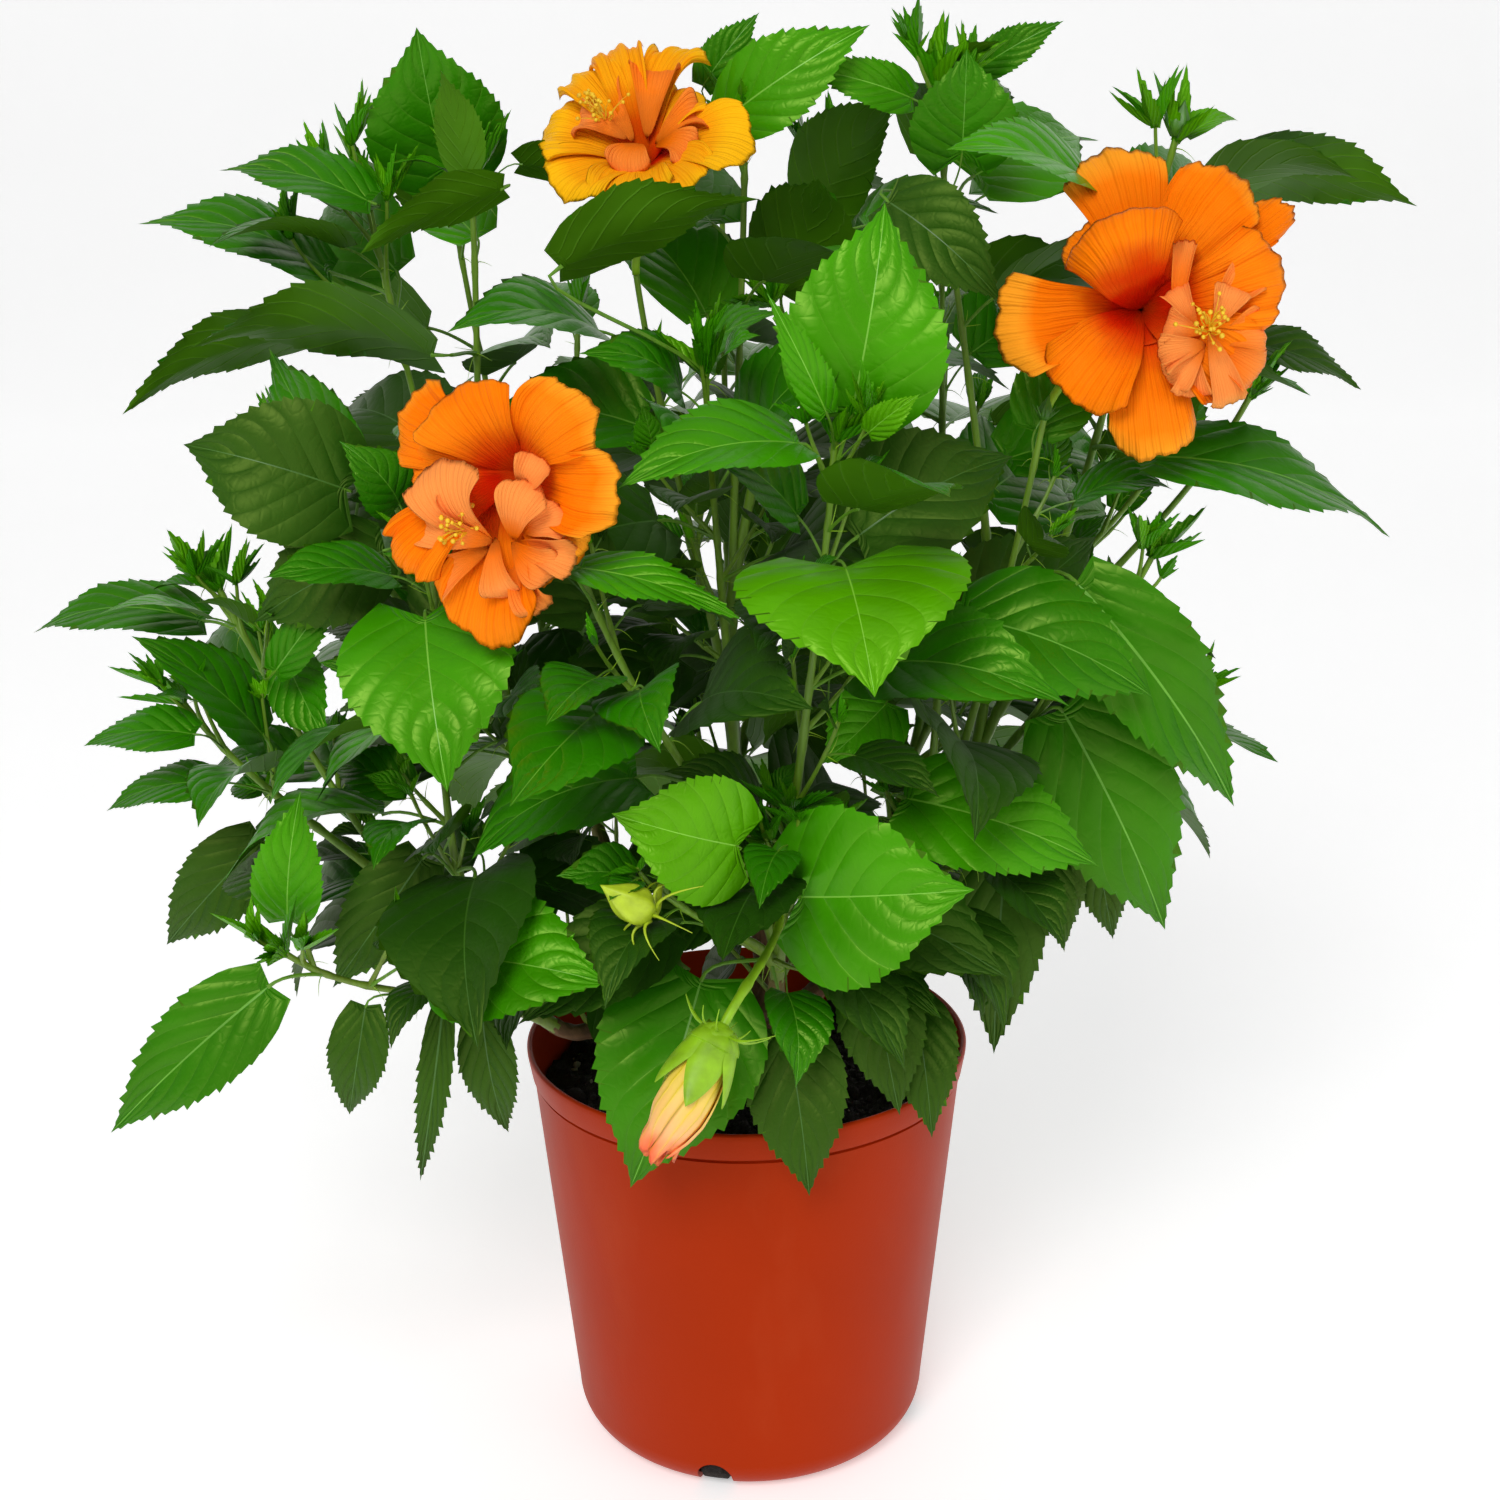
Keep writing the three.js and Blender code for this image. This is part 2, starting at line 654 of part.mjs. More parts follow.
// A set leaf, joined to the nearest stem of its own mass.
function setLeaf([foot, tip, width, face], mass, index) {
  const dice = (low, high, key) => between(low, high, mass, index, 40 + key);
  const [from, to] = [vec(foot), vec(tip)];
  const length = from.distanceTo(to);
  const joint = nearestJoint(from, mass);
  return {
    shoot: joint.shoot,
    root: joint.point,
    foot: from,
    ...bladeFrame(to.clone().sub(from).divideScalar(length), vec(FACES[face])),
    length,
    half: (length * width) / 2,
    fold: dice(0.08, 0.2, 1),
    arch: dice(0.2, 0.5, 2),
    set: true,
  };
}

// The point of a mass's stems where a set leaf's petiole can best leave: some way off the blade's
// foot, and not above it.
function nearestJoint(foot, mass) {
  const cost = ({ point }) => {
    const away = point.distanceTo(foot);
    return Math.abs(away - LEAF.setPetiole) + 0.8 * Math.max(0, point.z + 6 - foot.z);
  };
  const fork = vec(BOUGHS[mass].fork);
  const own = stemPoints.filter(({ point, shoot }) => shoot?.bough === mass && point.distanceTo(fork) > 14);
  return own.reduce((best, joint) => (cost(joint) < cost(best) ? joint : best));
}

const SAMPLES = [0.06, 0.28, 0.52, 0.76, 0.98].flatMap((v) => [-0.92, -0.46, 0, 0.46, 0.92].map((u) => [u, v]));
const bladeSamples = (leaf) => SAMPLES.map(([u, v]) => bladePoint(leaf, u, v));

// Points every few millimetres along a straight stretch.
function stretch(start, end, from, to, step) {
  const length = start.distanceTo(end);
  const points = [];
  for (let d = from; d <= length - to; d += step) points.push(start.clone().lerp(end, d / length));
  return points;
}

// True where a point lies nearer than `gap` to a blade's face.
function nearBlade(point, leaf, gap) {
  const local = point.clone().sub(leaf.foot);
  const y = local.dot(leaf.along);
  if (y < -4 || y > leaf.length + 4) return false;
  const x = local.dot(leaf.right);
  if (Math.abs(x) > 1.05 * halfWidth(leaf, Math.min(Math.max(y / leaf.length, 0.02), 0.98)) + 3) return false;
  return Math.abs(local.dot(leaf.normal) - bladeHeight(leaf, x, y)) < gap;
}

// The crown's own space: a round plan, a shouldered top and a low hem, clear of the pot.
function inCrown(point) {
  const low = Math.max(0, CROWN.waist - point.z) / (CROWN.waist - CROWN.foot);
  const [dx, dy] = [(point.x - CROWN.x) / CROWN.reachX, (point.y - CROWN.y) / CROWN.reachY];
  const out = Math.hypot(dx, dy) / (1 - CROWN.taper * low);
  if (out > 1 || point.z < CROWN.foot) return false;
  if (point.z > CROWN.top - CROWN.shoulder * Math.pow(out, 2.5)) return false;
  return point.z > POT.height + 6 || Math.hypot(point.x, point.y) > POT.rimRadius + 7;
}

// True inside the space that a bloom needs, with the free way in front of it.
function inBloom(point, bloom) {
  const local = point.clone().sub(bloom.centre);
  const ahead = local.dot(bloom.facing);
  const aside = Math.sqrt(Math.max(local.lengthSq() - ahead * ahead, 0));
  return aside < bloom.radius * 1.12 + 3 && ahead > -bloom.radius * 0.55 && ahead < bloom.radius * 1.8;
}

const blooms = BLOOMS.map((bloom) => ({ ...bloom, centre: vec(bloom.centre), facing: vec(bloom.facing).normalize() }));

// Everything woody or stalky that a leaf must keep clear of, as points with a radius.
const stemPoints = [];
function addStem(curve, length, radius, shoot) {
  const count = Math.ceil(length / 6);
  for (let k = 0; k <= count; k++) stemPoints.push({ point: curve.getPoint(k / count), radius, shoot });
}
for (const { curve, knuckle } of boughs) addStem(curve, curve.getPoint(1).distanceTo(knuckle), 4.5, null);
for (const shoot of shoots) addStem(shoot.curve, shoot.length, 2.4, shoot);

// How far a point is from a mass's own stems, less its way to the nearest stem of another mass.
function strayed(point, mass) {
  let [own, other] = [Infinity, Infinity];
  for (const stem of stemPoints) {
    if (!stem.shoot) continue;
    const away = stem.point.distanceToSquared(point);
    if (stem.shoot.bough === mass) own = Math.min(own, away);
    else other = Math.min(other, away);
  }
  return Math.sqrt(own) - Math.sqrt(other);
}

// True where a leaf keeps to the crown and to its mass's space, off the blooms.
function inSpace(leaf) {
  if (!leaf.blade.every(inCrown)) return false;
  if (leaf.blade.some((point) => keepOuts.some((bloom) => inBloom(point, bloom)))) return false;
  return strayed(bladePoint(leaf, 0, 0.6), leaf.shoot.bough) < LEAF.overReach;
}

// True where a leaf and its petiole touch no stem and no leaf that is already there.
function isFree(leaf, placed) {
  for (const { point, radius, shoot } of stemPoints) {
    if (nearBlade(point, leaf, radius + 3.2)) return false;
    if (shoot !== leaf.shoot && leaf.stalk.some((p) => p.distanceTo(point) < radius + 3.5)) return false;
  }
  for (const other of placed) {
    if (other.foot.distanceTo(leaf.foot) > other.length + leaf.length + 20) continue;
    if (leaf.blade.some((point) => nearBlade(point, other, LEAF.gap))) return false;
    if (other.blade.some((point) => nearBlade(point, leaf, LEAF.gap))) return false;
    if (leaf.stalk.some((point) => nearBlade(point, other, 4))) return false;
    if (other.stalk.some((point) => nearBlade(point, leaf, 4))) return false;
  }
  return true;
}

// ---------------------------------------------------------------- blooms

// The path of a bloom's stalk, from its shoot's tip to the foot of its calyx.
function stalkOf(bloom) {
  const shoot = shoots.find((s) => s.flower && boughs[s.bough].name === bloom.bough);
  const arrival = shoot.curve.getTangent(1);
  const foot = shoot.curve.getPoint(1).addScaledVector(arrival, CLEAR);
  const calyx = bloom.centre.clone().addScaledVector(bloom.facing, -bloom.radius * 0.62);
  return path(foot, arrival, calyx, bloom.facing);
}

// The point of a petal at u across and v along: the petals leave the throat as a funnel, then
// flare out flat and ruffle in waves that grow toward the rim.
function petalPoint(bloom, frame, petal, u, v) {
  const angle = petal.turn + u * petal.spread * Math.pow(v, 0.35);
  const reach = petal.reach * (0.08 + 0.92 * Math.pow(v, 1.15)) * (1 - 0.13 * u * u * v);
  const rise = petal.rise * Math.sin(v * Math.PI * 0.62) - 0.42 * bloom.radius * (1 - v);
  const ruffle = petal.ruffle * v * v * Math.cos(u * Math.PI * PETAL.waves + petal.turn * 3);
  return bloom.centre
    .clone()
    .addScaledVector(frame[0], reach * Math.cos(angle))
    .addScaledVector(frame[1], reach * Math.sin(angle))
    .addScaledVector(bloom.facing, rise + ruffle + petal.lift);
}

// The petals of a bloom, outer ring first.
function petalsOf(bloom, key) {
  const ring = (count, share, make) =>
    Array.from({ length: count }, (_, k) => ({
      turn: radians(bloom.turn) + (2 * Math.PI * (k + share)) / count + between(-0.12, 0.12, key, k, 31),
      ...make(k),
    }));
  return [
    ...ring(PETAL.outer, 0, (k) => ({
      reach: bloom.radius * between(0.9, 1.02, key, k, 32),
      spread: PETAL.spread,
      rise: bloom.radius * between(0.06, 0.26, key, k, 33),
      ruffle: bloom.radius * 0.05,
      lift: (k % 2) * 2.4,
    })),
    ...ring(PETAL.inner, 0.4, (k) => ({
      reach: bloom.radius * between(0.36, 0.56, key, k, 34),
      spread: 0.5,
      rise: bloom.radius * between(0.34, 0.6, key, k, 35),
      ruffle: bloom.radius * 0.04,
      lift: 1.5,
    })),
  ];
}

function bloomSolid(bloom, key) {
  const frame = across(bloom.facing);
  const stalk = stalkOf(bloom);
  const along = (share) => bloom.centre.clone().addScaledVector(bloom.facing, bloom.radius * share);
  const petals = petalsOf(bloom, key).map((petal, k) => {
    const [columns, rows] = k < PETAL.outer ? [[-1, -0.35, 0.35, 1], [0.02, 0.5, 1]] : [[-1, 0, 1], [0.02, 0.55, 1]];
    return plate(
      rows.map((v) => columns.map((u) => petalPoint(bloom, frame, petal, u, v))),
      PETAL.thickness,
    );
  });
  const calyx = limb(straight(along(-0.64), along(-0.24)), taper(bloom.radius * 0.07, bloom.radius * 0.17), 6, 1);
  const column = limb(straight(along(-0.5), along(0.42)), taper(2.6, 4.4), 5, 1);
  return fuse([limb(stalk, taper(1.7, 2.4), 5, 5), calyx, column, ...petals]);
}

// The opening bud: a stalk, a calyx and a furled spindle of petals that hangs over the rim.
const openingBud = {
  foot: vec(OPENING_BUD.foot),
  facing: vec(OPENING_BUD.facing).normalize(),
};
function openingBudSolid() {
  const { length, radius } = OPENING_BUD;
  const { foot, facing } = openingBud;
  const at = (share) => foot.clone().addScaledVector(facing, length * share);
  const furled = (t) => radius * Math.sin(Math.PI * (0.16 + 0.72 * t)) * (0.62 + 0.5 * t);
  return fuse([
    limb(budStalk, taper(1.5, 2.1), 5, 4),
    limb(straight(at(-0.06), at(0.5)), (t) => radius * (0.3 + 0.6 * Math.sin((Math.PI / 2) * t)), 7, 3),
    limb(straight(at(0.1), at(1)), furled, 7, 5),
  ]);
}
const front = shoots.find((shoot) => boughs[shoot.bough].name === "front");
const budRoot = front.curve.getPoint(0.16);
const budWay = vec(OPENING_BUD.stalkWay).normalize();
const budStalk = path(
  budRoot.clone().addScaledVector(budWay, OPENING_BUD.stalkSeat),
  budWay,
  openingBud.foot,
  openingBud.facing,
);

// What every leaf keeps clear of besides the stems.
const keepOuts = [
  ...blooms,
  {
    centre: openingBud.foot.clone().addScaledVector(openingBud.facing, OPENING_BUD.length / 2),
    facing: vec([0, -1, 0.2]).normalize(),
    radius: OPENING_BUD.length * 0.5,
  },
];
blooms.forEach((bloom) => addStem(stalkOf(bloom), 60, 3, null));
addStem(budStalk, 70, 2.5, null);

// ---------------------------------------------------------------- leaves and masses

function tipBud(shoot) {
  const end = shoot.curve.getPoint(1);
  const tangent = shoot.curve.getTangent(1);
  const start = end.clone().addScaledVector(tangent, -3);
  return limb(
    straight(start, end.clone().addScaledVector(tangent, BUD.length)),
    (t) => BUD.radius * (0.22 + Math.sin(Math.PI * Math.min(1, t * 0.86 + 0.1))),
    BUD.sides,
    BUD.steps,
  );
}

// Puts the set leaves in, then places leaves from the tips down, one place on every shoot at a
// time, and leaves out those that find no room in any of the tries.
function growLeaves() {
  const placed = [];
  const tryLeaf = (leaf) => {
    leaf.blade = bladeSamples(leaf);
    leaf.stalk = stretch(leaf.root, leaf.foot, 8, 3, 6);
    const fits = (leaf.set || inSpace(leaf)) && isFree(leaf, placed);
    if (fits) placed.push(leaf);
    return fits;
  };
  BOUGHS.forEach(({ set = [] }, mass) => set.forEach((row, index) => tryLeaf(setLeaf(row, mass, index))));
  for (let index = 0; index < LEAF.mostPlaces; index++) {
    for (const shoot of shoots) {
      TRIES.some((attempt) => {
        const leaf = leafAt(shoot, index, attempt);
        return leaf === null || tryLeaf(leaf);
      });
    }
  }
  return placed;
}

// A leaf as one body: a three-sided petiole, then a folded blade with six points round its outline
// and one over and one under its midrib.
function leafSolid(leaf) {
  const lift = leaf.length * (LEAF.thickness / 2);
  const petiole = leaf.foot.clone().sub(leaf.root).normalize();
  const side = leaf.right.clone().addScaledVector(petiole, -petiole.dot(leaf.right)).normalize();
  const below = new THREE.Vector3().crossVectors(petiole, side);
  const ring = (centre, radius) => [
    centre.clone().addScaledVector(side, radius),
    centre.clone().addScaledVector(side, -radius),
    centre.clone().addScaledVector(below, radius * 1.4),
  ];
  const [low, high] = LEAF.outline;
  const rim = [[1, low], [1, high], [0, 1], [-1, high], [-1, low]].map(([u, v]) => bladePoint(leaf, u, v));
  const points = [
    ...ring(leaf.root, LEAF.petioleRadius * 1.25),
    ...ring(leaf.foot, LEAF.petioleRadius),
    ...rim,
    bladePoint(leaf, 0, LEAF.midAt, lift),
    bladePoint(leaf, 0, LEAF.midAt, -lift),
  ];
  const border = [3, 6, 7, 8, 9, 10, 4];
  const over = border.flatMap((a, k) => [11, a, border[(k + 1) % border.length]]);
  const under = border.slice(1).flatMap((a, k) => [12, a, border[k]]);
  const stalk = [1, 0, 3, 1, 3, 4, 1, 4, 5, 1, 5, 2, 0, 2, 5, 0, 5, 3, 0, 1, 2];
  return solidFrom(points, [...over, ...under, 12, 5, 4, 12, 3, 5, ...stalk]);
}

const leaves = growLeaves();

function massSolid(boughIndex) {
  const own = shoots.filter((shoot) => shoot.bough === boughIndex);
  const stems = own.map((shoot, s) => {
    const foot = s === 0 ? BOUGH.tipRadius : SHOOT.footRadius;
    return limb(shoot.curve, taper(foot, shoot.flower ? 1.7 : SHOOT.tipRadius), SHOOT.sides, SHOOT.steps);
  });
  const buds = own.filter((shoot) => !shoot.flower).map(tipBud);
  const foliage = leaves.filter((leaf) => leaf.shoot.bough === boughIndex).map(leafSolid);
  return fuse([...stems, ...buds, ...foliage]);
}

// ---------------------------------------------------------------- the shrub

const finish = (color, roughness) => new THREE.MeshStandardMaterial({ color, roughness, metalness: 0 });
const MATERIALS = {
  pot: finish(0xa83a1c, 0.42),
  soil: finish(0x241d19, 0.95),
  bark: finish(0x7a5f45, 0.85),
  leaf: finish(0x2c7a14, 0.4),
  petal: finish(0xf57a1c, 0.6),
};

const shrub = new THREE.Group();
shrub.add(
  meshOf("pot", pot(), MATERIALS.pot),
  meshOf("soil", soil(), MATERIALS.soil),
  meshOf("trunk", trunk(), MATERIALS.bark),
  ...boughs.map((bough) => meshOf(`bough_${bough.name}`, boughSolid(bough), MATERIALS.bark)),
  ...boughs.map((bough, index) => meshOf(`foliage_${bough.name}`, massSolid(index), MATERIALS.leaf)),
  ...blooms.map((bloom, key) => meshOf(bloom.name, bloomSolid(bloom, key), MATERIALS.petal)),
  meshOf("opening_bud", openingBudSolid(), MATERIALS.petal),
);

export default shrub;
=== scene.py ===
"""Potted hibiscus shrub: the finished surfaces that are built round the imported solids."""

import functools
import json
import math
from types import SimpleNamespace

import bpy
import numpy as np
from numpy import (
    arange, array, asarray, broadcast_arrays, broadcast_to, clip, concatenate, cos, exp, gradient,
    hypot, linspace, maximum, meshgrid, ones, pi, sin, stack, zeros)
from numpy.linalg import norm
from bpy.props import FloatProperty, FloatVectorProperty, PointerProperty
from bpy.types import Operator, Panel, PropertyGroup, Scene
from mathutils import Euler, Matrix, Vector

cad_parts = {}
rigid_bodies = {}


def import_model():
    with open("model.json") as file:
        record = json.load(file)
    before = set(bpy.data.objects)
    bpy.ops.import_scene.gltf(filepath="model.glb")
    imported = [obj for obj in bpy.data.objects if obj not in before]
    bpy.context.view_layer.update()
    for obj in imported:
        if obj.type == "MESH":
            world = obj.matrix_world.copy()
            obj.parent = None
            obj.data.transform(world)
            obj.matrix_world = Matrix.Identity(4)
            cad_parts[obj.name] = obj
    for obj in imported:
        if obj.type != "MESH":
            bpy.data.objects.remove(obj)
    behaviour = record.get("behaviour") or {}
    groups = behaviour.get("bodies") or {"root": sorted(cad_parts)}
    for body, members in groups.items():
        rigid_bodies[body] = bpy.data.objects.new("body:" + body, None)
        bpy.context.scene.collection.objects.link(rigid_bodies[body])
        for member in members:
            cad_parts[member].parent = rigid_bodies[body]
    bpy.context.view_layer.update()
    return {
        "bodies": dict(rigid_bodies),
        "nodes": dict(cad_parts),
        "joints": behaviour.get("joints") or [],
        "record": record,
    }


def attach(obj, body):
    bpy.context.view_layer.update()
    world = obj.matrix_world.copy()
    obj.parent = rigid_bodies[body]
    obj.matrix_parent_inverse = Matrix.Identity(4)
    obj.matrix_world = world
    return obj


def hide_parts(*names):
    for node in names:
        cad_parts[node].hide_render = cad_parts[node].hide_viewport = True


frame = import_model()

bl_info = {
    "name": "Potted hibiscus shrub",
    "version": (1, 0, 0),
    "blender": (4, 5, 0),
    "location": "3D View > Sidebar > Shrub",
    "description": "Makes the pot, soil, wood, leaves and double blooms of a hibiscus shrub",
    "category": "Add Mesh",
}

MM = 0.001


# ---- sizes and colours

def from_screen(red, green, blue):
    """A colour given from 0 to 255 as screens show it, in a shader's linear values."""
    return tuple(
        c / 12.92 if c <= 0.04045 else ((c + 0.055) / 1.055) ** 2.4
        for c in (red / 255, green / 255, blue / 255)
    )


def length_property(name, description, default):
    return FloatProperty(
        name=name, description=description, default=default, min=0, subtype="DISTANCE", unit="LENGTH")


def colour_property(name, description, screen):
    return FloatVectorProperty(
        name=name, description=description, default=from_screen(*screen),
        size=3, min=0, max=1, subtype="COLOR")


class ShrubSizes(PropertyGroup):
    """Sizes of the fine forms that the solids don't have."""

    tooth: length_property("Leaf tooth", "How far a tooth stands out of the edge of a 90 mm leaf", 0.0013)
    quilting: length_property("Leaf quilting", "Height of a leaf's swellings between side veins", 0.0004)
    leaf_thickness: length_property("Leaf thickness", "Thickness of a leaf beside its midrib", 0.0004)
    bark_relief: length_property("Bark relief", "Depth of the furrows in the bark", 0.0006)
    soil_lump: length_property("Soil lumps", "Height of the lumps of the potting mix", 0.0024)
    groove: length_property("Pot groove", "Depth of the groove under the pot's band", 0.0013)
    petal_thickness: length_property("Petal thickness", "Thickness of a petal away from its edge", 0.0005)
    twig_share: FloatProperty(
        name="Twig share", description="Share of the older leaves with a leafy twig in their axil",
        default=0.85, min=0, max=1, subtype="FACTOR")


class ShrubColours(PropertyGroup):
    """Colours of the shrub and its pot."""

    pot: colour_property("Pot", "Terracotta-red plastic", (174, 47, 4))
    soil: colour_property("Soil", "Moist potting mix", (30, 23, 19))
    crumb: colour_property("Grit", "Pale grit in the mix", (150, 140, 125))
    bark: colour_property("Bark", "Woody stems", (118, 88, 60))
    stem: colour_property("Stem", "Green stems", (112, 154, 30))
    stalk: colour_property("Leaf stalk", "Stalks of the leaves", (100, 152, 30))
    # The bright and the darkest leaf colours are partly lit and shaded copies of the green: painted light on
    # leaves in the light, painted shade on leaves low in and inside the crown, beside the older leaves' real
    # darker green.
    bright_leaf: colour_property("Bright leaf", "Full-grown leaves in the light", (62, 152, 0))
    mid_leaf: colour_property("Middle leaf", "Most of the leaves", (42, 124, 0))
    deep_leaf: colour_property("Deep leaf", "Old leaves low in the shrub", (32, 78, 8))
    new_leaf: colour_property("New leaf", "The youngest leaves", (88, 170, 0))
    underside: colour_property("Underside", "Undersides of the leaves", (64, 112, 2))
    midrib: colour_property("Midrib", "Midribs of the leaves", (140, 204, 60))
    petal: colour_property("Petal", "Outer petals", (252, 122, 4))
    gold_petal: colour_property("Golden petal", "Petals of the topmost bloom", (252, 168, 14))
    throat: colour_property("Throat", "Foot of the petals", (226, 34, 2))
    petal_edge: colour_property("Petal edge", "Outer edge of the petals", (255, 158, 34))
    petaloid: colour_property("Inner petals", "Small petals in the middle of a bloom", (255, 150, 72))
    anther: colour_property("Anther", "Anthers and their threads", (250, 196, 30))
    calyx: colour_property("Calyx", "Calyx and bracts", (142, 190, 18))
    bud_petal: colour_property("Bud petal", "Furled petals of the opening bud", (255, 186, 120))


class StudioLights(PropertyGroup):
    """The lights round the shrub."""

    key_power: FloatProperty(
        name="Key", description="Power of the large front light", default=50, min=0, unit="POWER")
    fill_power: FloatProperty(
        name="Fill", description="Power of the side light", default=7, min=0, unit="POWER")
    sky: FloatProperty(name="Sky", description="Strength of the white surroundings", default=0.38, min=0)
    paper_glow: FloatProperty(
        name="Paper glow", description="Light that comes through the pale paper", default=0.36, min=0)


# ---- the plant's plan, in millimetres

CLEAR = 0.3
PLANT_SEED = 20611
WORD = 0xFFFFFFFF
UP = array([0.0, 0.0, 1.0])
SIDE_HELPER = array([0.6, 0.8, -0.35])
GOLDEN_TURN = math.radians(137.5)
SOIL_TOP = 184.0
POT_HEIGHT = 205.0
RIM_RADIUS = 107.5
GROUND = SOIL_TOP + CLEAR

TRUNK = SimpleNamespace(
    flare=19.0, stem=12.5, height=26.0, arm_foot=12.0, arm_reach=34.0,
    arm_rise=36.0, arm_radius=(8.6, 6.8), stub=17.0,
)
BOUGH_RADIUS = (4.9, 3.5)
SHOOT_RADIUS = (3.1, 1.1)
BARE_SHARE = 0.1
ARMS = {"left": 196, "front": -62, "back": 72}
FACES = {
    "front": (0, -1, 0.3),
    "raised": (0, -0.7, 0.7),
    "up": (0, -0.45, 0.88),
    "under": (0, 0.62, 0.78),
}
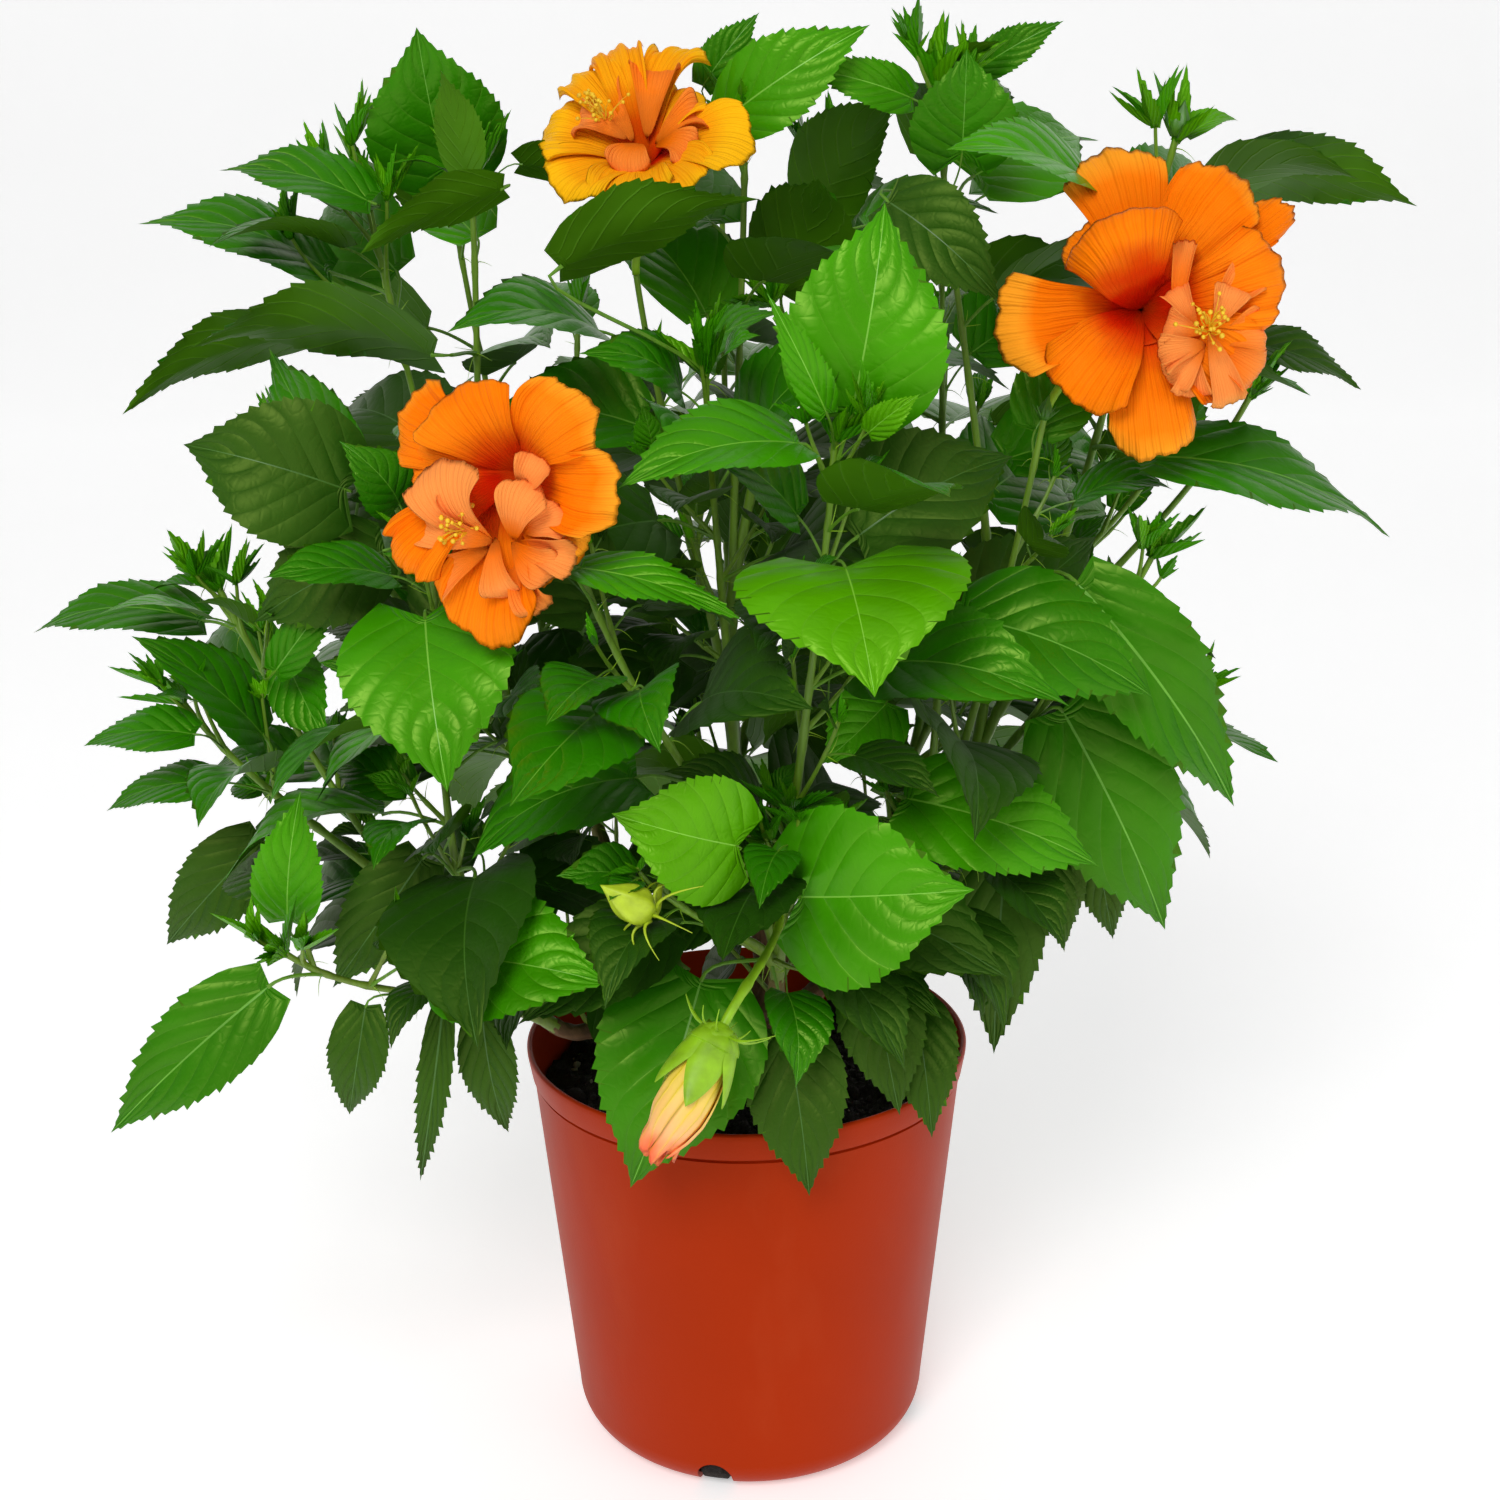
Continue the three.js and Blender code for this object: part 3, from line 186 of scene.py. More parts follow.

# Each bough: its arm, its fork, its shoots with the leader first (tip, share of the leader where
# it leaves, turn of its first leaf, what it carries) and its set leaves (foot, tip, width, face, tone).
# A set leaf's tone is partly painted light: the bright tone on leaves in the light, the darkest tone
# as painted shade on low and shaded leaves, beside real differences in their green.
BOUGHS = {
    "front": ("front", (14, -84, 270), [
        ((38, -128, 520), 0, 70, "leaves"), ((-62, -138, 468), 0.05, 200, "bloom"),
        ((20, -112, 362), 0.1, 10, "leaves"), ((-34, -150, 342), 0.02, 120, "pale bud"),
    ], [
        ((44, -130, 529), (62, -118, 608), 0.78, "front", "bright"),
        ((24, -135, 519), (-44, -168, 511), 0.62, "up", "bright"),
        ((41, -150, 473), (48, -212, 443), 1.3, "raised", "new"),
        ((23, -136, 330), (90, -168, 344), 1, "front", "bright"),
        ((-19, -108, 281), (-45, -142, 196), 0.76, "front", "mid"),
        ((-2, -150, 358), (-52, -166, 375), 0.95, "front", "new"),
        ((61, -100, 403), (35, -120, 381), 0.85, "front", "bright"),
        ((18, -102, 254), (31, -126, 185), 0.6, "front", "deep"),
        ((50, -142, 524), (68, -150, 541), 0.5, "front", "new"),
        ((34, -144, 532), (12, -156, 578), 0.3, "front", "bright"),
        ((-63, -150, 474), (0, -174, 459), 0.36, "up", "bright"),
    ]),
    "left_front": ("left", (-88, -50, 232), [
        ((-232, -34, 440), 0, 120, "leaves"), ((-246, -60, 396), 0.3, 10, "leaves"),
        ((-196, -122, 302), 0.02, 300, "leaves"), ((-128, -100, 470), 0.12, 76, "leaves"),
    ], [
        ((-128, -120, 447), (-116, -165, 388), 0.95, "front", "bright"),
        ((-150, -74, 465), (-209, -80, 439), 0.7, "front", "deep"),
        ((-243, -20, 421), (-322, -20, 421), 0.46, "up", "mid"),
        ((-236, -80, 386), (-286, -74, 384), 0.56, "up", "mid"),
        ((-231, -72, 361), (-282, -66, 351), 0.5, "up", "mid"),
        ((-195, -114, 313), (-188, -114, 371), 0.52, "front", "bright"),
        ((-201, -130, 290), (-276, -140, 230), 0.42, "front", "mid"),
        ((-168, -94, 264), (-176, -92, 207), 0.46, "front", "deep"),
        ((-123, -132, 303), (-58, -164, 301), 0.85, "raised", "bright"),
        ((-118, -84, 255), (-114, -80, 191), 0.4, "front", "deep"),
        ((-218, -50, 327), (-268, -50, 273), 0.5, "front", "deep"),
        ((-140, -84, 330), (-182, -88, 268), 0.5, "front", "deep"),
        ((-133, -96, 267), (-143, -98, 175), 0.16, "front", "deep"),
        ((-200, -78, 413), (-165, -80, 452), 0.36, "front", "mid"),
    ]),
    "left": ("left", (-84, -6, 300), [
        ((-160, -14, 612), 0, 30, "leaves"), ((-180, -66, 500), 0.1, 160, "leaves"),
        ((-112, -28, 616), 0.25, 250, "leaves"),
    ], [
        ((-125, -8, 616), (-134, -30, 674), 0.95, "front", "mid"),
        ((-152, -46, 606), (-212, -46, 624), 0.6, "up", "mid"),
        ((-177, -10, 574), (-252, -30, 602), 0.6, "up", "mid"),
        ((-127, -62, 545), (-231, -56, 556), 0.52, "under", "mid"),
        ((-190, -14, 547), (-270, -30, 523), 0.5, "under", "mid"),
        ((-162, -90, 494), (-226, -90, 518), 0.88, "front", "deep"),
        ((-95, -62, 612), (-153, -78, 589), 0.5, "under", "mid"),
        ((-110, -62, 618), (-117, -64, 659), 0.5, "under", "mid"),
        ((-91, -28, 620), (-60, -34, 612), 0.85, "under", "deep"),
    ]),
    "top": ("back", (-4, 12, 330), [
        ((4, -6, 636), 0, 140, "leaves"), ((-44, -14, 572), 0.06, 310, "bloom"),
        ((44, 34, 618), 0.3, 70, "leaves"), ((-14, -60, 536), 0.05, 30, "leaves"),
    ], [
        ((-71, -88, 583), (8, -84, 612), 0.55, "under", "mid"),
        ((-4, -14, 637), (56, -20, 675), 0.52, "front", "bright"),
        ((-14, 0, 650), (9, 0, 681), 0.5, "front", "mid"),
        ((36, 6, 600), (70, 16, 643), 1.1, "under", "deep"),
    ]),
    "right_front": ("front", (68, -48, 284), [
        ((129, -58, 515), 0, 20, "bloom"), ((178, -58, 456), 0.12, 110, "leaves"),
        ((86, -80, 470), 0.08, 300, "leaves"), ((108, -92, 342), 0.03, 230, "leaves"),
    ], [
        ((68, -104, 362), (152, -114, 334), 0.62, "raised", "bright"),
        ((90, -100, 440), (168, -124, 411), 0.7, "raised", "mid"),
        ((140, -92, 452), (221, -88, 355), 0.38, "front", "mid"),
        ((140, -64, 388), (195, -72, 287), 0.56, "front", "mid"),
        ((57, -84, 274), (64, -112, 216), 0.6, "front", "deep"),
        ((76, -76, 256), (85, -104, 201), 0.52, "front", "deep"),
        ((120, -44, 320), (108, -60, 220), 0.42, "front", "deep"),
        ((133, -60, 325), (143, -66, 273), 0.4, "front", "deep"),
    ]),
    "right": ("back", (92, 12, 304), [
        ((186, -22, 628), 0, 80, "green bud"), ((223, -28, 520), 0.2, 190, "green bud"),
        ((206, -14, 380), 0.05, 330, "leaves"), ((86, -8, 652), 0.12, 20, "leaves"),
    ], [
        ((170, -66, 500), (287, -44, 468), 0.42, "up", "mid"),
        ((206, -14, 610), (291, -14, 599), 0.62, "under", "mid"),
        ((223, -14, 540), (274, -20, 524), 0.55, "up", "deep"),
        ((96, -18, 621), (96, -26, 664), 1.05, "front", "mid"),
        ((104, 8, 655), (139, 0, 677), 0.42, "front", "mid"),
        ((143, -62, 613), (84, -84, 632), 0.7, "up", "bright"),
        ((136, -16, 318), (154, -22, 259), 0.55, "front", "deep"),
        ((166, 2, 308), (176, -2, 251), 0.45, "front", "deep"),
        ((76, -2, 644), (28, -10, 657), 0.42, "front", "bright"),
        ((62, -56, 605), (111, -74, 569), 0.62, "front", "deep"),
    ]),
    "back_left": ("left", (-76, 70, 292), [
        ((-140, 110, 606), 0, 50, "leaves"), ((-226, 92, 486), 0.1, 170, "green bud"),
        ((-186, 138, 350), 0.05, 290, "leaves"), ((-82, 150, 540), 0.15, 10, "leaves"),
    ], []),
    "back": ("back", (-2, 92, 286), [
        ((-8, 128, 626), 0, 0, "leaves"), ((-50, 214, 500), 0.1, 100, "green bud"),
        ((44, 226, 420), 0.05, 220, "leaves"), ((-84, 214, 336), 0.02, 330, "leaves"),
    ], []),
    "back_right": ("back", (78, 78, 290), [
        ((100, 106, 618), 0, 130, "leaves"), ((216, 100, 480), 0.1, 240, "leaves"),
        ((172, 158, 344), 0.05, 350, "leaves"), ((110, 190, 526), 0.15, 60, "green bud"),
    ], []),
}

LEAF = SimpleNamespace(
    longest=90.0, youngest=0.3, growth=1.7, internode=24.0, half_width=0.33,
    widest_at=0.34, foot_power=0.55, tip_power=1.17, lobe=0.1, petiole=0.36,
    petiole_radius=1.05, gap=4.5, stalk_gap=4.0, set_petiole=26.0, over_reach=45.0, places=12,
)
CROWN = SimpleNamespace(
    x=-6.0, y=12.0, reach_x=292.0, reach_y=290.0, top=677.0, shoulder=60.0,
    foot=190.0, waist=440.0, taper=0.3,
)
TRIES = ((0, 1), (0.5, 1), (-0.5, 1), (0.9, 0.88), (-0.9, 0.88), (0, 0.72))

BLOOMS = {
    "bloom_left": ("front", (-92, -158, 500), (-0.3, -0.93, 0.12), 52.0),
    "bloom_right": ("right_front", (164, -92, 567), (-0.12, -0.96, 0.2), 64.0),
    "bloom_top": ("top", (-39, -36, 635), (-0.16, -0.62, 0.74), 45.0),
}
OPENING_BUD = SimpleNamespace(
    way=(-0.2, -0.86, -0.46), seat=1.7, foot=(-9, -162, 284), facing=(-0.47, -0.4, -0.79),
    length=58.0, radius=12.5,
)


def unit(vector):
    """A vector, or each of an array of vectors, brought to length 1."""
    vector = asarray(vector, float)
    return vector / norm(vector, axis=-1, keepdims=True)


def blend(*pairs):
    """The direction of a weighted sum of directions."""
    return unit(sum(asarray(direction, float) * weight for direction, weight in pairs))


def chance(*keys):
    """A repeatable number from 0 to 1 for any whole-number keys."""
    h = PLANT_SEED
    for key in keys:
        h = ((h ^ key) * 0x9E3779B1) & WORD
        h ^= h >> 15
        h = (h * 0x85EBCA77) & WORD
        h ^= h >> 13
    return h / (WORD + 1)


def between(low, high, *keys):
    """A repeatable number from low to high."""
    return low + (high - low) * chance(*keys)


def across(direction):
    """Two directions square to a direction, or to each of an array of them, and to each other."""
    first = unit(np.cross(SIDE_HELPER, direction))
    return first, np.cross(direction, first)


def cubic(a, b, c, d, t):
    """Points of a cubic curve: the Bernstein sum of its four knots."""
    return (1 - t) ** 3 * a + 3 * (1 - t) ** 2 * t * b + 3 * (1 - t) * t**2 * c + t**3 * d


class Path:
    """A cubic curve that leaves start along heading and arrives at end along arrival."""

    def __init__(self, start, heading, end, arrival):
        third = norm(end - start) / 3
        self.knots = array([start, start + heading * third, end - arrival * third, end])
        self.length = 3 * third

    def point(self, t):
        return cubic(*self.knots, asarray(t, float)[..., None])

    def tangent(self, t):
        """The direction of the curve, from the derivative of the sum."""
        t = asarray(t, float)[..., None]
        a, b, c, d = self.knots
        return unit((1 - t) ** 2 * (b - a) + 2 * (1 - t) * t * (c - b) + t**2 * (d - c))


def knuckle_points():
    """The end of each of the trunk's arms."""
    reach, height = TRUNK.arm_reach, GROUND + TRUNK.arm_rise
    turns = {name: math.radians(compass) for name, compass in ARMS.items()}
    return {name: array([reach * math.cos(a), reach * math.sin(a), height]) for name, a in turns.items()}


def bough_paths():
    """Each bough from its knuckle's stub to its fork, with the way it arrives there."""
    knuckles = knuckle_points()
    boughs = []
    for name, (arm, fork, shoots, _) in BOUGHS.items():
        knuckle, fork, leader = knuckles[arm], array(fork, float), array(shoots[0][0], float)
        heading = blend((unit(fork - knuckle), 1), (UP, 0.12))
        start = knuckle + heading * (TRUNK.stub + CLEAR)
        arrival = blend((unit(leader - fork), 0.6), (heading, 0.5))
        path = Path(start, heading, fork, arrival)
        boughs.append({
            "name": name, "knuckle": knuckle, "heading": heading, "arrival": arrival, "path": path})
    return boughs


def branch(stem, share, tip, hold, lead, lift):
    """A path off a stem: it leaves between the stem's way and its own, and comes in a little upward."""
    foot, end = stem.point(share), array(tip, float)
    way = unit(end - foot)
    return Path(foot, blend((stem.tangent(share), hold), (way, lead)), end, blend((way, 1), (UP, lift)))


def shoot_paths(boughs):
    """The shoots of every mass: a leader that carries its bough on, and side shoots off it."""
    shoots = []
    for b, bough in enumerate(boughs):
        rows = BOUGHS[bough["name"]][2]
        start = bough["path"].knots[3] + bough["arrival"] * CLEAR
        tip = array(rows[0][0], float)
        leader = Path(start, bough["arrival"], tip, blend((unit(tip - start), 1), (UP, 0.45)))
        for s, (tip, share, turn, ending) in enumerate(rows):
            path = branch(leader, share, tip, 0.7, 0.6, 0.45) if s else leader
            shoots.append({
                "key": b * 8 + s, "bough": b, "path": path, "turn": math.radians(turn),
                "length": norm(tip - leader.point(share)), "ending": ending,
            })
    return shoots


# ---- the leaf rule

def half_width(half, v):
    """Half a blade's width: a power of the way from its foot times a power of the way to its tip."""
    v = clip(v, 0, 1)
    return half * v ** LEAF.foot_power * (1 - v) ** LEAF.tip_power / LEAF.widest_at


def blade_height(leaf, x, y):
    """The rise of a blade over its chord: folded up from the midrib and arched as a parabola."""
    return leaf["fold"] * np.abs(x) + leaf["arch"] * y * (1 - y / leaf["length"])


def blade_point(leaf, u, v):
    """Points of one blade at u across, -1 to 1, and v along, 0 to 1."""
    u, v = asarray(u, float), asarray(v, float)
    x = u * half_width(leaf["half"], v)
    y = leaf["length"] * (v - LEAF.lobe * u * u * (1 - v) ** 5)
    z = blade_height(leaf, x, y)
    frame = stack([leaf["right"], leaf["along"], leaf["normal"]])
    return leaf["foot"] + stack([x, y, z], -1) @ frame


def blade_frame(along, facing):
    """A blade's square frame from the way it points and the way it would like to face."""
    normal = unit(facing - along * np.dot(facing, along))
    return {"along": along, "normal": normal, "right": np.cross(along, normal)}


def leaf_at(shoot, index, turn, shrink):
    """The leaf at place index below a shoot's tip, or None where the shoot is bare."""
    def dice(low, high, key):
        return between(low, high, shoot["key"], index, key)

    age = 1 - math.exp(-index / LEAF.growth)
    below = 6 + LEAF.internode * (index - 0.9 * (1 - math.exp(-index / 1.6)))
    share = 1 - below / shoot["length"]
    if share < BARE_SHARE:
        return None
    root, stem = shoot["path"].point(share), shoot["path"].tangent(share)
    angle = shoot["turn"] + GOLDEN_TURN * index + dice(-0.2, 0.2, 1) + turn
    first, second = across(stem)
    radial = blend((first, math.cos(angle)), (second, math.sin(angle)))
    lean = math.radians(40 + 3 * min(index, 8) + dice(-6, 6, 2))
    stalk = blend((stem, math.cos(lean)), (radial, math.sin(lean)))
    outward = unit(array([root[0] - CROWN.x, root[1] - CROWN.y, 0]))
    lowness = max(0, min(1, (400 - root[2]) / 200))
    hang = 0.05 + 0.5 * age * (1 - share * 0.4) + dice(-0.1, 0.25, 3) + 0.6 * lowness
    along = blend((stalk, 0.85), (outward, 0.42), (UP, -hang))
    facing = blend((UP, 0.85), (outward, 0.6), (first, dice(-0.3, 0.3, 4)), (second, dice(-0.3, 0.3, 5)))
    size = (LEAF.youngest + (1 - LEAF.youngest) * age) * dice(0.86, 1.08, 6) * shrink
    length = LEAF.longest * size
    petiole = length * LEAF.petiole * dice(0.8, 1.25, 7)
    return {
        "shoot": shoot, "root": root, "share": share, "index": index,
        "foot": root + stalk * petiole * 0.75 + along * petiole * 0.25,
        **blade_frame(along, facing),
        "length": length, "half": length * LEAF.half_width * dice(0.9, 1.15, 8),
        "fold": dice(0.06, 0.34, 9), "arch": dice(0.2, 0.7, 10), "tone": None,
    }


SAMPLE_V = np.repeat((0.06, 0.28, 0.52, 0.76, 0.98), 5)
SAMPLE_U = np.tile((-0.92, -0.46, 0, 0.46, 0.92), 5)


def stretch(start, end, first, last, step):
    """Points every few millimetres along a straight stretch."""
    length = norm(end - start)
    along = arange(first, length - last + 1e-9, step)
    return start + (end - start) * (along / length)[:, None]


class Crown:
    """Every stem and leaf so far, as arrays that a new leaf is tested against."""

    FIELDS = ("foot", "along", "normal", "right", "length", "half", "fold", "arch")

    def __init__(self, boughs, shoots):
        self.boughs, self.shoots, self.leaves = boughs, shoots, []
        self.stems = []
        self.blades, self.stalks = zeros((0, 3)), zeros((0, 3))
        self.table = None
        for bough in boughs:
            path = bough["path"]
            self.add_stem(path, norm(path.knots[3] - bough["knuckle"]), 4.5)
        for shoot in shoots:
            self.add_stem(shoot["path"], shoot["length"], 2.4, shoot)
        self.keep_outs = []
        for name, (_, centre, facing, radius) in BLOOMS.items():
            centre, facing = array(centre, float), unit(facing)
            self.add_stem(bloom_stalk(self, name), 60, 3)
            self.keep_outs.append((centre, facing, radius))
        facing = unit(OPENING_BUD.facing)
        centre = array(OPENING_BUD.foot) + facing * OPENING_BUD.length / 2
        self.keep_outs.append((centre, unit((0, -1, 0.2)), OPENING_BUD.length / 2))
        self.add_stem(bud_stalk(self), 70, 2.5)
        self.stem_points, self.stem_radii, self.stem_owner, self.stem_mass = (
            concatenate(column) for column in zip(*self.stems))

    def add_stem(self, path, length, radius, shoot=None):
        """Notes a stem as points every 6 mm or less."""
        count = math.ceil(length / 6)
        facts = (float(radius), shoot["key"], shoot["bough"]) if shoot else (float(radius), -1, -1)
        self.stems.append((path.point(arange(count + 1) / count), *(np.full(count + 1, f) for f in facts)))

    def near_leaves(self, points, leaves, gap):
        """Table of points by leaves: true where a point lies nearer than gap to a blade's face."""
        local = points[:, None] - leaves["foot"]
        x, y, z = ((local * leaves[axis]).sum(-1) for axis in ("right", "along", "normal"))
        length = leaves["length"]
        edge = 1.05 * half_width(leaves["half"], clip(y / length, 0.02, 0.98)) + 3
        inside = (y >= -4) & (y <= length + 4) & (np.abs(x) <= edge)
        return inside & (np.abs(z - blade_height(leaves, x, y)) < gap)

    def in_space(self, leaf):
        """True where a leaf keeps to the crown and to its mass's space, off the blooms."""
        p = leaf["blade"]
        low = maximum(0, CROWN.waist - p[:, 2]) / (CROWN.waist - CROWN.foot)
        out = hypot((p[:, 0] - CROWN.x) / CROWN.reach_x, (p[:, 1] - CROWN.y) / CROWN.reach_y)
        out = out / (1 - CROWN.taper * low)
        roof = CROWN.top - CROWN.shoulder * out**2.5
        if (out > 1).any() or (p[:, 2] < CROWN.foot).any() or (p[:, 2] > roof).any():
            return False
        if not ((p[:, 2] > POT_HEIGHT + 6) | (hypot(p[:, 0], p[:, 1]) > RIM_RADIUS + 7)).all():
            return False
        for centre, facing, radius in self.keep_outs:
            local = p - centre
            ahead = local @ facing
            aside = np.sqrt(maximum((local**2).sum(-1) - ahead**2, 0))
            if ((aside < radius * 1.12 + 3) & (ahead > -radius * 0.55) & (ahead < radius * 1.8)).any():
                return False
        away = norm(self.stem_points - blade_point(leaf, 0, 0.6), axis=-1)
        own = self.stem_mass == leaf["shoot"]["bough"]
        other = (self.stem_mass >= 0) & ~own
        return away[own].min() - away[other].min() < LEAF.over_reach

    def row(self, leaf):
        """A leaf as a table of one row."""
        return {name: asarray(leaf[name])[None] for name in self.FIELDS}

    def is_free(self, leaf):
        """True where a leaf and its petiole touch no stem and no leaf that is already there."""
        one = self.row(leaf)
        if self.near_leaves(self.stem_points, one, (self.stem_radii + 3.2)[:, None]).any():
            return False
        others = self.stem_owner != leaf["shoot"]["key"]
        if len(leaf["stalk"]):
            away = norm(leaf["stalk"][:, None] - self.stem_points[others], axis=-1)
            if (away < self.stem_radii[others] + 3.5).any():
                return False
        if self.table is None:
            return True
        pairs = (
            (leaf["blade"], self.table, LEAF.gap), (self.blades, one, LEAF.gap),
            (leaf["stalk"], self.table, LEAF.stalk_gap), (self.stalks, one, LEAF.stalk_gap))
        return not any(self.near_leaves(*pair).any() for pair in pairs)

    def try_leaf(self, leaf, is_set=False):
        """Adds a leaf where it fits."""
        leaf["blade"] = blade_point(leaf, SAMPLE_U, SAMPLE_V)
        leaf["stalk"] = stretch(leaf["root"], leaf["foot"], 8, 3, 6)
        if not ((is_set or self.in_space(leaf)) and self.is_free(leaf)):
            return False
        self.leaves.append(leaf)
        one = self.row(leaf)
        old = self.table or {name: value[:0] for name, value in one.items()}
        self.table = {name: concatenate([old[name], one[name]]) for name in self.FIELDS}
        self.blades = concatenate([self.blades, leaf["blade"]])
        self.stalks = concatenate([self.stalks, leaf["stalk"]])
        return True

    def set_leaf(self, row, mass, index):
        """A leaf given in the table, joined to the nearest stem of its own mass."""
        foot, tip, width, face, tone = row
        foot, tip = array(foot, float), array(tip, float)
        fork = self.boughs[mass]["path"].knots[3]
        own = (self.stem_mass == mass) & (norm(self.stem_points - fork, axis=-1) > 14)
        points = self.stem_points[own]
        cost = np.abs(norm(points - foot, axis=-1) - LEAF.set_petiole)
        cost = cost + 0.8 * maximum(0, points[:, 2] + 6 - foot[2])
        best = int(np.argmin(cost))
        owner = self.stem_owner[own][best]
        length = norm(tip - foot)
        return {
            "shoot": next(shoot for shoot in self.shoots if shoot["key"] == owner),
            "root": points[best], "share": None, "index": 4, "foot": foot,
            **blade_frame(unit(tip - foot), array(FACES[face], float)),
            "length": length, "half": length * width / 2,
            "fold": between(0.08, 0.2, mass, index, 41),
            "arch": between(0.2, 0.5, mass, index, 42), "tone": tone,
        }

    def grow(self):
        """Puts the set leaves in, then grows the others from the tips down."""
        for mass, (_, _, _, rows) in enumerate(BOUGHS.values()):
            for index, row in enumerate(rows):
                self.try_leaf(self.set_leaf(row, mass, index), True)
        for index in range(LEAF.places):
            for shoot in self.shoots:
                self.grow_leaf(shoot, index)

    def grow_leaf(self, shoot, index, size=1):
        """Tries a place on a shoot at a few turns and sizes until a leaf fits."""
        for turn, shrink in TRIES:
            leaf = leaf_at(shoot, index, turn, shrink * size)
            if leaf is None or self.try_leaf(leaf):
                break


def flower_shoot(crown, name):
    """The shoot that carries a bloom."""
    bough = list(BOUGHS).index(BLOOMS[name][0])
    return next(s for s in crown.shoots if s["bough"] == bough and s["ending"] == "bloom")


def bloom_stalk(crown, name):
    """A bloom's stalk, from its shoot's tip to the foot of its calyx."""
    _, centre, facing, radius = BLOOMS[name]
    facing = unit(facing)
    path = flower_shoot(crown, name)["path"]
    arrival = path.tangent(1.0)
    return Path(path.point(1.0) + arrival * CLEAR, arrival, array(centre) - facing * radius * 0.62, facing)


def bud_stalk(crown):
    """The opening bud's stalk, from the front leader to the foot of its calyx."""
    leader = next(s for s in crown.shoots if s["bough"] == 0)["path"]
    way = unit(OPENING_BUD.way)
    start = leader.point(0.16) + way * OPENING_BUD.seat
    return Path(start, way, array(OPENING_BUD.foot, float), unit(OPENING_BUD.facing))


# ---- surfaces

class Weave:
    """The faces that join the points of one surface; points that no face uses are left out."""

    def __init__(self, total, loops, sizes, finish=0):
        self.total, self.sizes = total, asarray(sizes)
        self.kept, self.loops = np.unique(loops, return_inverse=True)
        self.finish = broadcast_to(finish, len(self.sizes))


def weave_table(table, around=False):
    """Faces of a table of point numbers, one per cell, that face across columns times rows; corners
    with the same number are drawn together."""
    left = table if around else table[:, :-1]
    right = np.roll(table, -1, 1) if around else table[:, 1:]
    cells = stack([left[:-1], right[:-1], right[1:], left[1:]], -1).reshape(-1, 4)
    keep = cells != np.roll(cells, -1, 1)
    whole = keep.sum(1) >= 3
    return cells[whole][keep[whole]], keep[whole].sum(1)


def sheet(rows, columns):
    """Faces of an open grid."""
    return Weave(rows * columns, *weave_table(arange(rows * columns).reshape(rows, columns)))


def shell(rows, columns):
    """Faces of a thin closed form: over from left to right and back under it."""
    wide = 2 * columns - 2
    table = arange(rows * wide).reshape(rows, wide)
    table[0] = table[0, 0]
    table[-1, columns:] = table[-1, 1:columns - 1][::-1]
    return Weave(rows * wide, *weave_table(table, True))


def shell_points(points, thickness):
    """Points of a thin closed form: a grid moved out and in along its normals, the cross product of
    its two slopes, with no thickness at its edges."""
    across = gradient(points, axis=-2)
    along = gradient(points, axis=-3)
    normal = np.cross(across, along)
    normal = normal / (norm(normal, axis=-1, keepdims=True) + 1e-9)
    rows, columns = points.shape[-3:-1]
    share = ones((rows, columns))
    share[0] = share[-1] = 0
    share[:, 0] = share[:, -1] = 0
    lift = normal * (share * thickness / 2)[..., None]
    return concatenate([points + lift, (points - lift)[..., -2:0:-1, :]], -2)


def shell_map(rows, columns):
    """Map of a thin closed form: u across and v along, the same over and under."""
    place = together(linspace(0, 1, columns), linspace(0, 1, rows)[:, None])
    return concatenate([place, place[:, -2:0:-1]], 1).reshape(-1, 2)


def turns(count):
    """Angles at even steps round a circle."""
    return arange(count) * 2 * pi / count


def together(*parts):
    """Points from their x, y and z, each spread to the shape that all of them need."""
    return stack(broadcast_arrays(*parts), -1)


def tube_points(centres, radii, sides, directions):
    """Rings round a line: centre plus radius times the turn's cosine and sine along the two
    directions square to the line."""
    first, second = across(directions)
    turn = turns(sides)
    ring = first[..., None, :] * cos(turn)[:, None] + second[..., None, :] * sin(turn)[:, None]
    radii = asarray(radii, float)
    radii = radii if radii.ndim == centres.ndim else radii[..., None]
    return centres[..., None, :] + ring * radii[..., None]


def tube(rows, sides):
    """Faces of a tube whose two ends are drawn to a point."""
    table = arange(rows * sides).reshape(rows, sides)
    table[0], table[-1] = table[0, 0], table[-1, 0]
    return Weave(rows * sides, *weave_table(table, True))


def round_form(sides, rings):
    """A ball of radius 1: a sphere's latitude and longitude grid, with its faces."""
    lat, lon = linspace(-pi / 2, pi / 2, rings)[:, None], turns(sides)
    return together(cos(lat) * cos(lon), cos(lat) * sin(lon), sin(lat)), tube(rings, sides)


def ripple(points, wave, seed, count=7):
    """A smooth random height: the mean of sine waves in seeded directions, each wave mm long."""
    dice = np.random.default_rng(seed)
    ways = unit(dice.normal(size=(count, 3))) * (2 * pi / wave) * dice.uniform(0.7, 1.5, (count, 1))
    shift = dice.uniform(0, 2 * pi, count)
    return sin(points @ ways.T + shift).mean(-1) * 1.6


